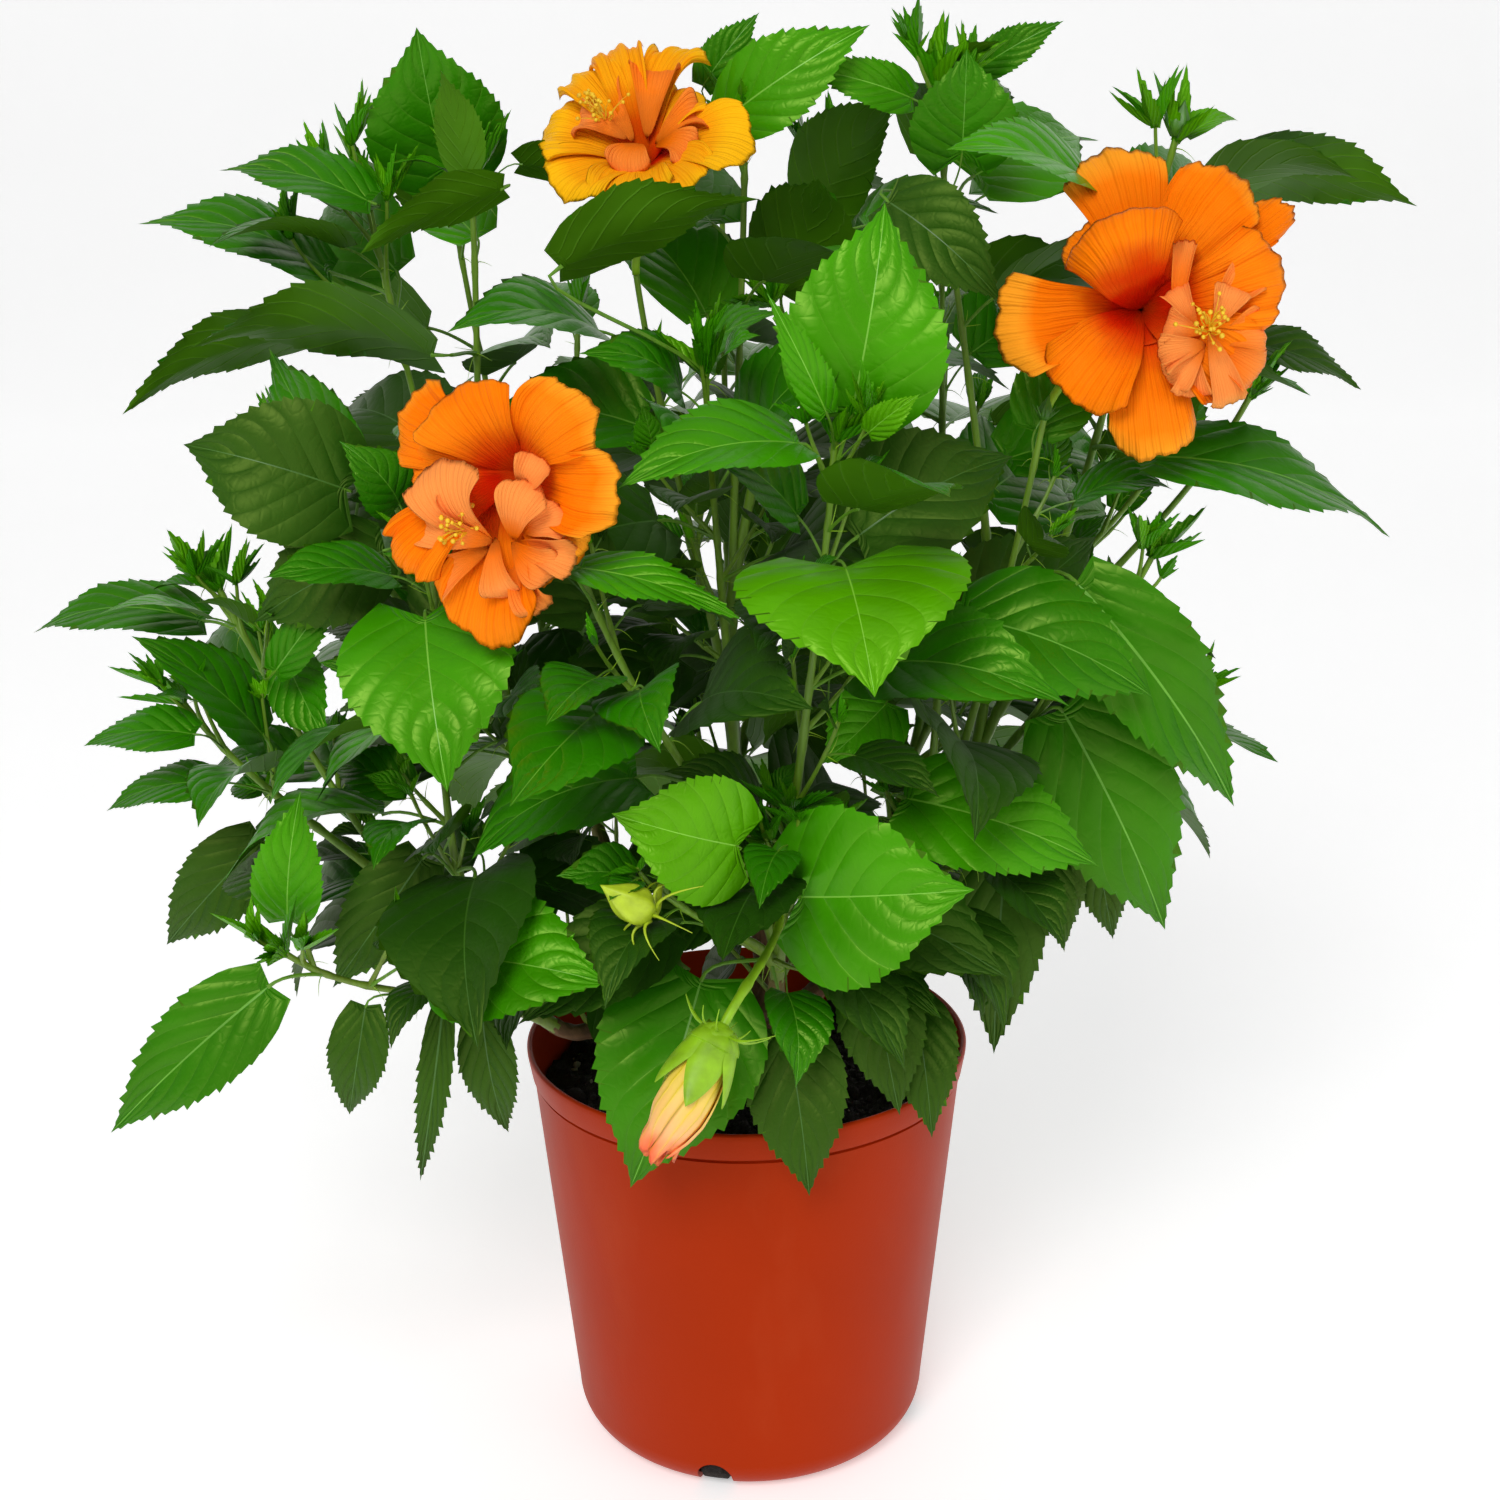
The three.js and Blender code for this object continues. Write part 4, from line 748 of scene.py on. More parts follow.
class Gathering:
    """Surfaces gathered into one mesh, in millimetres."""

    def __init__(self):
        self.points, self.loops, self.sizes, self.maps, self.finishes = [], [], [], [], []
        self.count = 0

    def add(self, points, weave, place=None, finish=None):
        """Adds one surface, or one for each leading index of its points."""
        points = points.reshape(-1, weave.total, 3)[:, weave.kept]
        copies, each = points.shape[:2]
        starts = self.count + arange(copies)[:, None] * each
        place = zeros((weave.total, 2)) if place is None else place
        place = broadcast_to(place.reshape(-1, weave.total, 2), (copies, weave.total, 2))[:, weave.kept]
        self.points.append(points.reshape(-1, 3))
        self.loops.append((starts + weave.loops).ravel())
        self.sizes.append(np.tile(weave.sizes, copies))
        self.maps.append(place[:, weave.loops].reshape(-1, 2))
        finish = weave.finish if finish is None else np.full(len(weave.sizes), finish)
        self.finishes.append(np.tile(finish, copies))
        self.count += copies * each

    def add_shell(self, grid, thickness, reach=1):
        """Adds a grid as a thin closed form, with its map drawn out along it."""
        rows, columns = grid.shape[:2]
        self.add(shell_points(grid, thickness), shell(rows, columns), shell_map(rows, columns) * (1, reach))

    def mesh(self, name):
        """The gathered surfaces as one Blender mesh, in metres."""
        points, loops = concatenate(self.points) * MM, concatenate(self.loops)
        sizes = concatenate(self.sizes)
        mesh = bpy.data.meshes.new(name)
        mesh.vertices.add(len(points))
        mesh.vertices.foreach_set("co", points.astype(np.float32).ravel())
        mesh.loops.add(len(loops))
        mesh.loops.foreach_set("vertex_index", loops.astype(np.int32))
        mesh.polygons.add(len(sizes))
        starts = concatenate([[0], np.cumsum(sizes)[:-1]])
        mesh.polygons.foreach_set("loop_start", starts.astype(np.int32))
        mesh.polygons.foreach_set("material_index", concatenate(self.finishes).astype(np.int32))
        mesh.polygons.foreach_set("use_smooth", ones(len(sizes), bool))
        layer = mesh.uv_layers.new(name="place")
        layer.data.foreach_set("uv", concatenate(self.maps).astype(np.float32).ravel())
        mesh.update(calc_edges=True)
        mesh.validate()
        return mesh


def show(mesh, finishes, replaced, sharp=50):
    """Puts a mesh into the scene as a piece of its name that rides on the one body."""
    for finish in finishes:
        mesh.materials.append(finish)
    mesh.set_sharp_from_angle(angle=math.radians(sharp))
    piece = bpy.data.objects.new(mesh.name, mesh)
    bpy.context.scene.collection.objects.link(piece)
    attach(piece, "root")
    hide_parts(*replaced)


# ---- finishes

class Wire:
    """A shader socket that sums can be written with: each adds its Math node."""

    def __init__(self, finish, socket):
        self.finish, self.socket = finish, socket

    def math(self, operation, *others):
        values = dict(enumerate((self, *others)))
        return self.finish.add("ShaderNodeMath", {"operation": operation}, values)

    __add__ = __radd__ = functools.partialmethod(math, "ADD")
    __mul__ = __rmul__ = functools.partialmethod(math, "MULTIPLY")
    __sub__ = functools.partialmethod(math, "SUBTRACT")
    __pow__ = functools.partialmethod(math, "POWER")
    __abs__ = functools.partialmethod(math, "ABSOLUTE")
    sine = functools.partialmethod(math, "SINE")

    def __rsub__(self, other):
        return self.finish.add("ShaderNodeMath", {"operation": "SUBTRACT"}, {0: other, 1: self})

    def clamp(self):
        return self.finish.add("ShaderNodeClamp", {}, {0: self})


class Finish:
    """One material: a Principled shader and the nodes that feed it."""

    def __init__(self, name, **constants):
        self.material = bpy.data.materials.new(name)
        self.material.use_nodes = True
        self.tree = self.material.node_tree
        self.shader = self.tree.nodes["Principled BSDF"]
        for socket, value in constants.items():
            self.shader.inputs[socket.replace("_", " ")].default_value = value

    def add(self, kind, settings, sockets, out=0):
        """Adds a node: its settings first, then the values or links of its sockets."""
        node = self.tree.nodes.new(kind)
        for key, value in settings.items():
            if key == "stops":
                self.stops(node.color_ramp, value)
            else:
                setattr(node, key, value)
        for key, value in sockets.items():
            self.feed(node.inputs[key], value)
        return Wire(self, node.outputs[out])

    def stops(self, ramp, stops):
        while len(ramp.elements) < len(stops):
            ramp.elements.new(0.5)
        for element, (place, colour) in zip(ramp.elements, stops):
            element.position, element.color = place, (*colour, 1)

    def feed(self, socket, value):
        if isinstance(value, Wire):
            self.tree.links.new(value.socket, socket)
        elif hasattr(value, "__len__") and len(value) == 3 and socket.type == "RGBA":
            socket.default_value = (*value, 1)
        else:
            socket.default_value = value

    def drive(self, **sockets):
        """Feeds the shader's own sockets."""
        for name, value in sockets.items():
            self.feed(self.shader.inputs[name.replace("_", " ")], value)
        return self.material

    def object_place(self, scale=(1, 1, 1)):
        place = self.add("ShaderNodeTexCoord", {}, {}, "Object")
        return self.add("ShaderNodeMapping", {}, {"Vector": place, "Scale": scale})

    def map_place(self):
        """u and v of the piece's own map."""
        place = self.add("ShaderNodeUVMap", {"uv_map": "place"}, {})
        return [self.add("ShaderNodeSeparateXYZ", {}, {0: place}, k) for k in (0, 1)]

    def noise(self, scale, detail, stretch=(1, 1, 1)):
        place = self.object_place(stretch)
        return self.add("ShaderNodeTexNoise", {}, {"Vector": place, "Scale": scale, "Detail": detail})

    def mix(self, share, first, second):
        return self.add("ShaderNodeMix", {"data_type": "RGBA"}, {0: share, 6: first, 7: second}, 2)

    def shades(self, share, colour, dark, light):
        """From a darker to a lighter shade of a colour."""
        return self.mix(share, shaded(colour, dark), shaded(colour, light))

    def bump(self, height, strength, depth):
        return self.add("ShaderNodeBump", {}, {"Height": height, "Strength": strength, "Distance": depth})


def shaded(colour, factor):
    """A colour made darker or lighter."""
    return tuple(min(1.0, c * factor) for c in colour)


def pot_finish(colour):
    """Satin moulded plastic: faint clouds of shade, dull smudges and a very fine grain."""
    f = Finish("pot_plastic", Specular_IOR_Level=0.13, Specular_Tint=(1.0, 0.5, 0.3, 1))
    cloud = f.noise(7, 4)
    smudge = f.noise(26, 5, (1, 1, 0.35))
    tint = f.shades((cloud - 0.3) * 1.1, colour, 0.84, 1.1)
    tint = f.mix((smudge - 0.56).clamp() * 1.1, tint, (0.46, 0.07, 0.02))
    grain = f.noise(900, 2)
    return f.drive(
        Base_Color=tint, Roughness=0.36 + smudge * 0.2,
        Normal=f.bump(grain + cloud * 6, 0.12, 0.0006))


def groove_shade_and_dirt_finish(colour):
    """The same plastic, much darker in the groove under the band: painted shade of the undercut, with a
    little dirt.
    """
    f = Finish("pot_groove", Roughness=0.7)
    return f.drive(Base_Color=f.shades(f.noise(60, 3), colour, 0.1, 0.28))


def soil_finish(colour):
    f = Finish("soil_mix", Roughness=0.85, Specular_IOR_Level=0.3)
    coarse, fine = f.noise(160, 6), f.noise(900, 4)
    tint = f.shades((coarse - 0.3) * 1.8, colour, 0.45, 2.3)
    return f.drive(Base_Color=tint, Normal=f.bump(coarse * 2 + fine, 0.9, 0.002))


def grit_finish(colour):
    f = Finish("soil_grit", Roughness=0.9)
    speck = f.noise(420, 3)
    tint = f.shades(speck, colour, 0.55, 1.25)
    return f.drive(Base_Color=tint, Normal=f.bump(speck, 0.6, 0.001))


def bark_finish(bark, stem):
    """Brown furrowed bark low down that turns to green skin with height."""
    f = Finish("bark", Roughness=0.78, Specular_IOR_Level=0.3)
    height = f.add("ShaderNodeSeparateXYZ", {}, {0: f.object_place()}, 2)
    patch, streak = f.noise(38, 4), f.noise(120, 5, (1, 1, 0.22))
    brown = f.shades((streak - 0.25) * 1.7, bark, 0.42, 1.35)
    green = f.shades(streak, stem, 0.6, 0.95)
    up = ((height - 0.268) * 16 + (patch - 0.5) * 1.8).clamp()
    lines = f.noise(420, 4, (1, 1, 0.3))
    return f.drive(Base_Color=f.mix(up, brown, green), Normal=f.bump(streak * 2 + lines, 0.7, 0.0012))


def stem_finish(name, colour, tint_colour):
    """Green skin with fine lines along it and a tan tint low in the shrub."""
    f = Finish(name, Roughness=0.48)
    height = f.add("ShaderNodeSeparateXYZ", {}, {0: f.object_place()}, 2)
    patch, streak = f.noise(30, 3), f.noise(500, 3, (1, 1, 0.08))
    green = f.shades((streak - 0.3) * 1.5, colour, 0.72, 1.25)
    low = ((0.34 - height) * 6 + (patch - 0.5) * 1.6).clamp()
    return f.drive(Base_Color=f.mix(low * 0.5, green, tint_colour), Normal=f.bump(streak, 0.4, 0.0006))


def leaf_finish(name, colour, vein, gloss=0.34, quilting=0.5):
    """Upper face of a leaf: slanting side veins, swellings between them, a fine net and clouds."""
    f = Finish(name, Specular_IOR_Level=0.55, Specular_Tint=(0.75, 1.0, 0.2, 1))
    u, v = f.map_place()
    side = abs(u * 2 - 1)
    run = (v - side * VEIN_SLANT) * (math.pi * VEINS)
    swelling = abs(run.sine())
    line = (1 - swelling) ** 12
    net = f.add(
        "ShaderNodeTexVoronoi", {"feature": "DISTANCE_TO_EDGE"},
        {"Vector": f.add("ShaderNodeMapping", {}, {
            "Vector": f.add("ShaderNodeUVMap", {"uv_map": "place"}, {}), "Scale": (9, 17, 1)}), "Scale": 1.0})
    net = (net * 5).clamp()
    cloud, spots = f.noise(16, 3), f.noise(60, 4)
    tint = f.shades((cloud - 0.28) * 1.6, colour, 0.68, 1.22)
    tint = f.mix(line * 0.16, tint, vein)
    height = swelling**0.6 * 0.7 + net * 0.08 + cloud
    return f.drive(
        Base_Color=tint, Roughness=gloss + spots * 0.16, Normal=f.bump(height, quilting, 0.002))


def underside_finish(colour, vein):
    """Matt underside with raised pale side veins."""
    f = Finish("leaf_underside", Roughness=0.55, Specular_IOR_Level=0.25, Specular_Tint=(0.6, 1.0, 0.4, 1))
    u, v = f.map_place()
    side = abs(u * 2 - 1)
    line = (1 - abs(((v - side * VEIN_SLANT) * (math.pi * VEINS)).sine())) ** 8
    cloud = f.noise(22, 3)
    tint = f.shades((cloud - 0.28) * 1.5, colour, 0.72, 1.2)
    return f.drive(Base_Color=f.mix(line * 0.14, tint, vein), Normal=f.bump(line, 0.5, 0.001))


def plain_finish(name, colour, roughness=0.5, spread=0.25, scale=70, depth=0.0005):
    """A living skin: one colour with small clouds of shade and a soft grain."""
    f = Finish(name, Roughness=roughness)
    cloud = f.noise(scale, 3)
    return f.drive(
        Base_Color=f.shades((cloud - 0.25) * 1.7, colour, 1 - spread, 1 + spread),
        Normal=f.bump(cloud, 0.3, depth))


def petal_finish(name, throat, middle, edge, red=0.24):
    """A petal from its dark foot to its pale edge, with veins that fan out from the foot."""
    f = Finish(name, Roughness=0.5, Specular_IOR_Level=0.1, Specular_Tint=(1.0, 0.6, 0.2, 1))
    u, v = f.map_place()
    warp = f.noise(70, 2)
    vein = abs(((u - 0.5) * 44 + warp * 2.2).sine())
    fine = abs(((u - 0.5) * 103 + warp * 4.0).sine())
    reach = (v + (warp - 0.5) * 0.16)
    tint = f.add("ShaderNodeValToRGB", {"stops": [
        (0.0, shaded(throat, 0.55)), (red, throat), (red + 0.26, middle),
        (0.86, middle), (1.0, edge)]}, {0: reach})
    line = ((1 - vein) ** 5) * 0.5 + ((1 - fine) ** 4) * 0.22
    tint = f.mix(line * (1.1 - v), tint, shaded(throat, 0.9))
    cloud = f.noise(34, 3)
    tint = f.mix((cloud - 0.4).clamp() * 0.9, tint, edge)
    return f.drive(Base_Color=tint, Normal=f.bump(vein + fine * 0.5 + cloud * 1.5, 0.45, 0.0012))


@functools.cache
def green_finishes():
    """The finishes that several pieces of the plant share."""
    c = bpy.context.scene.shrub_colours
    return {
        "underside": underside_finish(c.underside, c.midrib),
        "calyx": plain_finish("calyx", c.calyx, 0.5, 0.3, 120, 0.0008),
        "stalk": stem_finish("stalk_skin", c.stalk, shaded(c.stalk, 0.8)),
    }


# ---- finer growth than the solids have

SPRIG_KEY = 2000
TWIG = SimpleNamespace(key=1000, radius=(1.5, 0.8), most=3, shrink=0.78)

# Sprigs of young leaves: the shoot they leave, the share of the way along it, and their tip.
SPRIGS = [
    (16, 0.9, (-174, -24, 614)), (16, 0.85, (-147, -34, 608)), (16, 0.95, (-163, -18, 630)),
    (16, 0.75, (-190, -28, 592)), (26, 0.9, (30, 22, 624)), (26, 0.62, (14, 2, 558)),
    (26, 0.62, (34, 4, 564)), (8, 0.95, (-239, -46, 450)), (8, 0.9, (-221, -46, 446)),
    (8, 0.8, (-214, -42, 424)), (9, 0.9, (-253, -68, 407)), (9, 0.88, (-238, -70, 405)),
    (27, 0.9, (-16, -68, 550)), (40, 0.5, (153, -18, 479)), (0, 0.9, (51, -138, 531)),
    (0, 0.9, (26, -136, 529)), (2, 0.7, (25, -118, 353)), (2, 0.7, (11, -118, 350)),
    (43, 0.95, (76, -14, 665)), (43, 0.9, (98, -14, 657)), (24, 0.95, (14, -12, 648)),
    (10, 0.94, (-206, -128, 312)), (10, 0.9, (-186, -130, 308)), (40, 0.9, (176, -28, 634)),
    (33, 0.9, (172, -66, 462)), (17, 0.9, (-188, -72, 506)),
]
# Leafy twigs low inside the crown: the bough they leave, the share of the way along it, their tip.
INNER_TWIGS = [
    (0, 0.55, (-16, -62, 290)), (0, 0.8, (38, -58, 302)), (3, 0.4, (4, 26, 300)), (3, 0.7, (-24, 16, 352)),
    (7, 0.5, (14, 92, 300)), (7, 0.8, (-22, 98, 352)), (8, 0.6, (60, 66, 330)), (6, 0.6, (-64, 56, 322)),
    (4, 0.7, (72, -48, 330)), (2, 0.7, (-78, -22, 330)), (5, 0.6, (94, 4, 332)), (1, 0.6, (-82, -50, 296)),
    (3, 0.9, (16, -24, 340)), (8, 0.9, (36, 62, 396)), (7, 0.3, (-6, 66, 252)), (3, 0.2, (24, 20, 262)),
    (8, 0.2, (40, 40, 250)), (3, 0.1, (-16, 44, 256)),
]
INNER_KEY = 1500
# Where the sky shows through: middle right of and above the frame's origin, at the depth of the
# pot's axis, and radius. No grown leaf stands in front of or behind one, seen from EYE.
EYE = array([3.2, -986.0, 668.0])
OPENINGS = array([
    (237, 430, 43), (-272, 476, 32), (267, 559, 27), (-285, 300, 27), (-303, 392, 23), (-248, 569, 20),
    (272, 504, 20), (-99, 587, 17), (-208, 455, 17), (191, 263, 17), (244, 373, 17), (159, 649, 15),
    (-287, 236, 17), (145, 228, 16), (227, 323, 15), (104, 456, 14), (191, 453, 12), (-98, 563, 12),
    (-231, 463, 13), (-49, 569, 10), (-165, 587, 8),
])


def in_opening(leaf):
    """Whether any of three points of a grown leaf lies over an opening."""
    points = leaf["foot"] + leaf["along"] * leaf["length"] * array([[0.3], [0.55], [0.8]])
    seen = EYE + (points - EYE) * (EYE[1] / (EYE[1] - points[:, 1:2]))
    gap = hypot(seen[:, None, 0] - OPENINGS[:, 0], seen[:, None, 2] - OPENINGS[:, 1])
    return leaf["share"] is not None and bool((gap < OPENINGS[:, 2]).any())


@functools.cache
def grown_plant():
    """The crown with its leaves and then its finer twigs, worked out once."""
    boughs = bough_paths()
    crown = Crown(boughs, shoot_paths(boughs))
    crown.grow()
    crown.twigs = list(finer_twigs(crown, bpy.context.scene.shrub_sizes.twig_share))
    for number, (bough, share, tip) in enumerate(INNER_TWIGS):
        path = branch(boughs[bough]["path"], share, tip, 0.6, 0.8, 0.3)
        twig = twig_row(INNER_KEY + number, bough, path, path.length + 12, chance(number, 75))
        crown.twigs.append(twig)
        for index in range(5):
            crown.grow_leaf(twig, index, 0.95)
    crown.leaves = [leaf for leaf in crown.leaves if not in_opening(leaf)]
    shoots = {shoot["key"]: shoot for shoot in crown.shoots}
    for number, (key, share, tip) in enumerate(SPRIGS):
        path = branch(shoots[key]["path"], share, tip, 1, 0.6, 0.8)
        crown.twigs.append({"key": SPRIG_KEY + number, "path": path, "ending": "leaves"})
    return crown


def twig_row(key, bough, path, length, turn):
    return {
        "key": key, "bough": bough, "path": path, "length": length,
        "turn": 2 * math.pi * turn, "ending": "leaves"}


def finer_twigs(crown, share):
    """Twigs in the axils of the older leaves, each with up to three smaller leaves by the same rule."""
    for number, leaf in enumerate(list(crown.leaves)):
        low = leaf["root"][2] < 360
        if leaf["index"] < (0 if low else 2) or chance(number, 71) > share or leaf["root"][2] > 470:
            continue
        stalk = unit(leaf["foot"] - leaf["root"])
        heading = blend((stalk, 0.8), (UP, 0.5 + 0.3 * chance(number, 73)))
        length = between(26, 58, number, 72)
        end = leaf["root"] + heading * length * 0.92 + UP * length * 0.08
        path = Path(leaf["root"], heading, end, blend((heading, 1), (UP, 0.5)))
        twig = twig_row(TWIG.key + number, leaf["shoot"]["bough"], path, length, chance(number, 74))
        before = len(crown.leaves)
        for index in range(TWIG.most):
            crown.grow_leaf(twig, index, TWIG.shrink)
        if len(crown.leaves) > before:
            yield twig


def tone_of(leaf, number):
    """Which of the leaf colours a leaf has: new at the tips; the darkest low down and inside the crown, which
    is painted shade there as well as the older leaves' darker green.
    """
    if leaf["tone"]:
        return leaf["tone"]
    middle = leaf["foot"] + leaf["along"] * leaf["length"] / 2
    out = math.hypot((middle[0] - CROWN.x) / CROWN.reach_x, (middle[1] - CROWN.y) / CROWN.reach_y)
    dice = chance(number, 81)
    if leaf["index"] == 0 and leaf["shoot"]["key"] < TWIG.key:
        return "new" if dice < 0.5 else "bright"
    # Low and inner leaves take the darkest colour, mostly as painted shade inside the crown.
    if (middle[2] < 330 and dice < 0.85) or (out < 0.6 and middle[2] < 500 and dice < 0.85):
        return "deep"
    return "bright" if dice < 0.2 else "mid"


# ---- leaves

TEETH = SimpleNamespace(foot=0.045, first=0.13, last=0.955, lean=0.72)
VEINS = 6
VEIN_SLANT = 0.42
MIDRIB_SHARE = {"bright": 0.6, "mid": 0.4, "deep": 0.12, "new": 0.7}


class Blade:
    """The grid of a leaf: rows from foot to tip with one for each tooth, columns over and under. A
    fine blade has every row in every column, a coarse one has teeth in its edge alone."""

    def __init__(self, teeth, over, under, fine):
        valleys = linspace(TEETH.first, TEETH.last, teeth + 1)
        tips = valleys[:-1] + np.diff(valleys) * TEETH.lean
        pairs = stack([tips, valleys[1:]], 1).ravel()
        self.v = concatenate([[0, TEETH.foot], valleys[:1], pairs, [1]])
        self.tooth = zeros(len(self.v))
        self.tooth[3:-1:2] = 1
        self.tooth[4:-1:2] = -1
        self.over, self.under, self.fine = array(over, float), array(under, float), fine
        inner = self.under[1:-1]
        above, below = ones(len(over)), ones(len(inner))
        self.side = concatenate([-above, above, -below, [0], below])
        self.share = concatenate([self.over[::-1], self.over, inner[::-1], [0], inner])
        self.layer = concatenate([zeros(2 * len(over)), below, [1], below])
        self.weave = self.woven()

    def woven(self):
        """Faces over, along the midrib and under; a coarse blade's edge faces have five corners."""
        rows, columns = len(self.v), len(self.side)
        table = arange(rows * columns).reshape(rows, columns)
        table[0], table[-1] = table[0, 0], table[-1, 0]
        wide = 2 * len(self.over)
        over = list(range(wide))
        under = [0, *range(wide, columns), wide - 1]
        faces, finishes = [], []
        lines = list(range(rows)) if self.fine else [r for r in range(rows) if self.tooth[r] < 1]
        for columns_used, finish in ((over, 0), (under, 2)):
            for left, right in zip(columns_used[:-1], columns_used[1:]):
                for a, b in zip(lines[:-1], lines[1:]):
                    between_rows = list(range(a + 1, b))
                    up = [table[r, right] for r in between_rows] if right == wide - 1 else []
                    down = [table[r, left] for r in reversed(between_rows)] if left == 0 else []
                    face = [table[a, left], table[a, right], *up, table[b, right], table[b, left], *down]
                    face = [p for k, p in enumerate(face) if p != face[(k + 1) % len(face)]]
                    if len(face) < 3:
                        continue
                    faces.append(face if finish == 0 else face[::-1])
                    finishes.append(1 if finish == 0 and left == len(self.over) - 1 else finish)
        return Weave(rows * columns, concatenate(faces), [len(face) for face in faces], finishes)

    def points(self, leaves, sizes):
        """Points of every leaf: half the width times the share across, drawn out at teeth, on the
        folded, arched face, raised between the side veins and waved at the edge."""
        names = "length", "half", "fold", "arch", "wave"
        column = {k: array([leaf[k] for leaf in leaves])[:, None, None] for k in names}
        frame_axes = stack([array([leaf[k] for leaf in leaves]) for k in ("right", "along", "normal")], 1)
        feet = array([leaf["foot"] for leaf in leaves])
        v = self.v[:, None]
        length = column["length"]
        full = half_width(column["half"], v) * (1 - 0.42 * clip((v - 0.64) / 0.36, 0, 1) ** 1.5)
        strip = length * 0.0055 * (1 - 0.75 * v) * np.minimum(1, v * 30)
        strip = np.minimum(strip, full * 0.6)
        edge = (self.share == 1)
        grown = clip((v - 0.14) * 4, 0, 1) * clip((1.02 - v) * 5, 0.25, 1)
        uneven = 0.75 + 0.45 * sin(37 * v + 9 * column["wave"] + self.side * 2)
        tooth = sizes.tooth / MM * (length / 90) ** 0.7 * grown * uneven
        out = np.where(self.tooth[:, None] > 0, tooth, -tooth * 0.35) * (self.tooth[:, None] != 0) * edge
        share = self.share
        wide = np.where((self.layer == 1) & (share == 0), 0, strip + (full - strip) * share)
        x = self.side * (wide + out)
        u = x / maximum(full, 1e-6)
        lobe = LEAF.lobe + 1.3 * clip(column["half"] / length - 0.36, 0, 0.16)
        y = length * (v - lobe * clip(u * u, 0, 1) * (1 - v) ** 5)
        y = y + out * 0.8
        z = column["fold"] * np.abs(x) + column["arch"] * y * (1 - y / length)
        bulge = sin(pi * share) * full
        z = z + 0.05 * bulge
        if self.fine:
            run = (v - share * VEIN_SLANT) * VEINS
            swelling = np.abs(sin(pi * run)) ** 0.7 - 0.6
            inside = clip(sin(pi * share) * 1.6, 0, 1)
            z = z + sizes.quilting / MM * (length / 90) * swelling * inside * clip(v * 8, 0, 1)
        sway = sin(2 * pi * (1.6 * v + column["wave"] + 0.25 * self.side))
        z = z + column["wave"] * share**2 * sway * grown * 1.5
        z = z - length * (0.02 + 0.07 * (column["wave"] * 7.3 % 1)) * v**3
        thick = sizes.leaf_thickness / MM * (length / 90) ** 0.5
        ridge = thick * np.where(share == 0, 3.4 - 2.2 * v, 1.0)
        z = z - (self.layer == 1) * ridge * clip(sin(pi * v) * 4, 0, 1)
        x = x + length * 0.07 * sin(column["wave"] * 23) * v**2
        local = together(x, y, z).reshape(len(leaves), -1, 3)
        return feet[:, None] + local @ frame_axes

    def place(self):
        """Map places of a blade: u across from 0 to 1 and v along."""
        u = 0.5 + 0.5 * self.side * self.share
        return together(u[None, :], self.v[:, None]).reshape(-1, 2)


def tip_leaves(crown):
    """The folded young leaves that stand round each shoot's tip."""
    for shoot in crown.shoots + crown.twigs:
        if shoot["ending"] not in ("leaves", "green bud"):
            continue
        end, tangent = shoot["path"].point(1.0), shoot["path"].tangent(1.0)
        first, second = across(tangent)
        key = shoot["key"]
        count, small = (7, 0.85) if key >= SPRIG_KEY else (3, 0.62) if key >= TWIG.key else (8, 1)
        for number in range(count):
            turn = 2.4 * number + 6.28 * chance(key, number, 91)
            out = blend((first, math.cos(turn)), (second, math.sin(turn)))
            lean = between(0.12, 0.95, key, number, 92)
            along = blend((tangent, math.cos(lean)), (out, math.sin(lean)))
            length = between(14, 34, key, number, 93) * small
            yield {
                "foot": end - tangent * 2 + out * 0.5, **blade_frame(along, blend((out, -1), (tangent, 0.4))),
                "length": length, "half": length * between(0.1, 0.16, key, number, 94),
                "fold": between(0.6, 1.1, key, number, 95), "arch": between(-0.3, 0.1, key, number, 96),
                "wave": 0.0, "tone": "new" if chance(key, number, 97) < 0.45 else "bright",
            }


def petiole_tubes(leaves, sides=6, rings=8):
    """Leaf stalks: cubic curves from the stem into the blade along its midrib, thicker at both ends."""
    root, foot, along = (array([leaf[k] for leaf in leaves]) for k in ("root", "foot", "along"))
    gap = norm(foot - root, axis=-1, keepdims=True)
    knots = root, root + (foot - root) * 0.38 + UP * gap * 0.05, foot - along * gap * 0.3, foot + along * 1.2
    knots = [knot[:, None] for knot in knots]
    t = concatenate([[0], linspace(0, 1, rings), [1]])
    scale = clip(array([leaf["length"] for leaf in leaves]) / 80, 0.45, 1.1)
    radius = (0.92 + 0.42 * exp(-((t / 0.08) ** 2)) + 0.3 * exp(-(((1 - t) / 0.1) ** 2)) - 0.22 * t)
    radius[[0, -1]] = 0
    radii = scale[:, None] * radius * LEAF.petiole_radius * 0.95
    centres = cubic(*knots, t[:, None])
    slopes = unit(gradient(centres[:, 1:-1], axis=-2))
    directions = concatenate([slopes[:, :1], slopes, slopes[:, -1:]], 1)
    return tube_points(centres, radii, sides, directions), tube(rings + 2, sides)


def curled_threads(roots, ways, bends, lengths, width, sides=3, rings=6):
    """Thin pointed threads that bend over: root plus way times the run plus bend times its square."""
    t = linspace(0, 1, rings)[:, None]
    run = lengths[:, None, None] * t
    centres = roots[:, None] + ways[:, None] * run * (1 - 0.35 * t) + bends[:, None] * run * t * 0.9
    centres = concatenate([centres[:, :1], centres, centres[:, -1:]], 1)
    radius = concatenate([[0], width * (1 - 0.82 * t[:, 0]), [0]])
    slopes = gradient(centres[:, 1:-1], axis=-2)
    directions = unit(concatenate([slopes[:, :1], slopes, slopes[:, -1:]], 1))
    radii = broadcast_to(radius, centres.shape[:2])
    return tube_points(centres, radii, sides, directions), tube(rings + 2, sides)


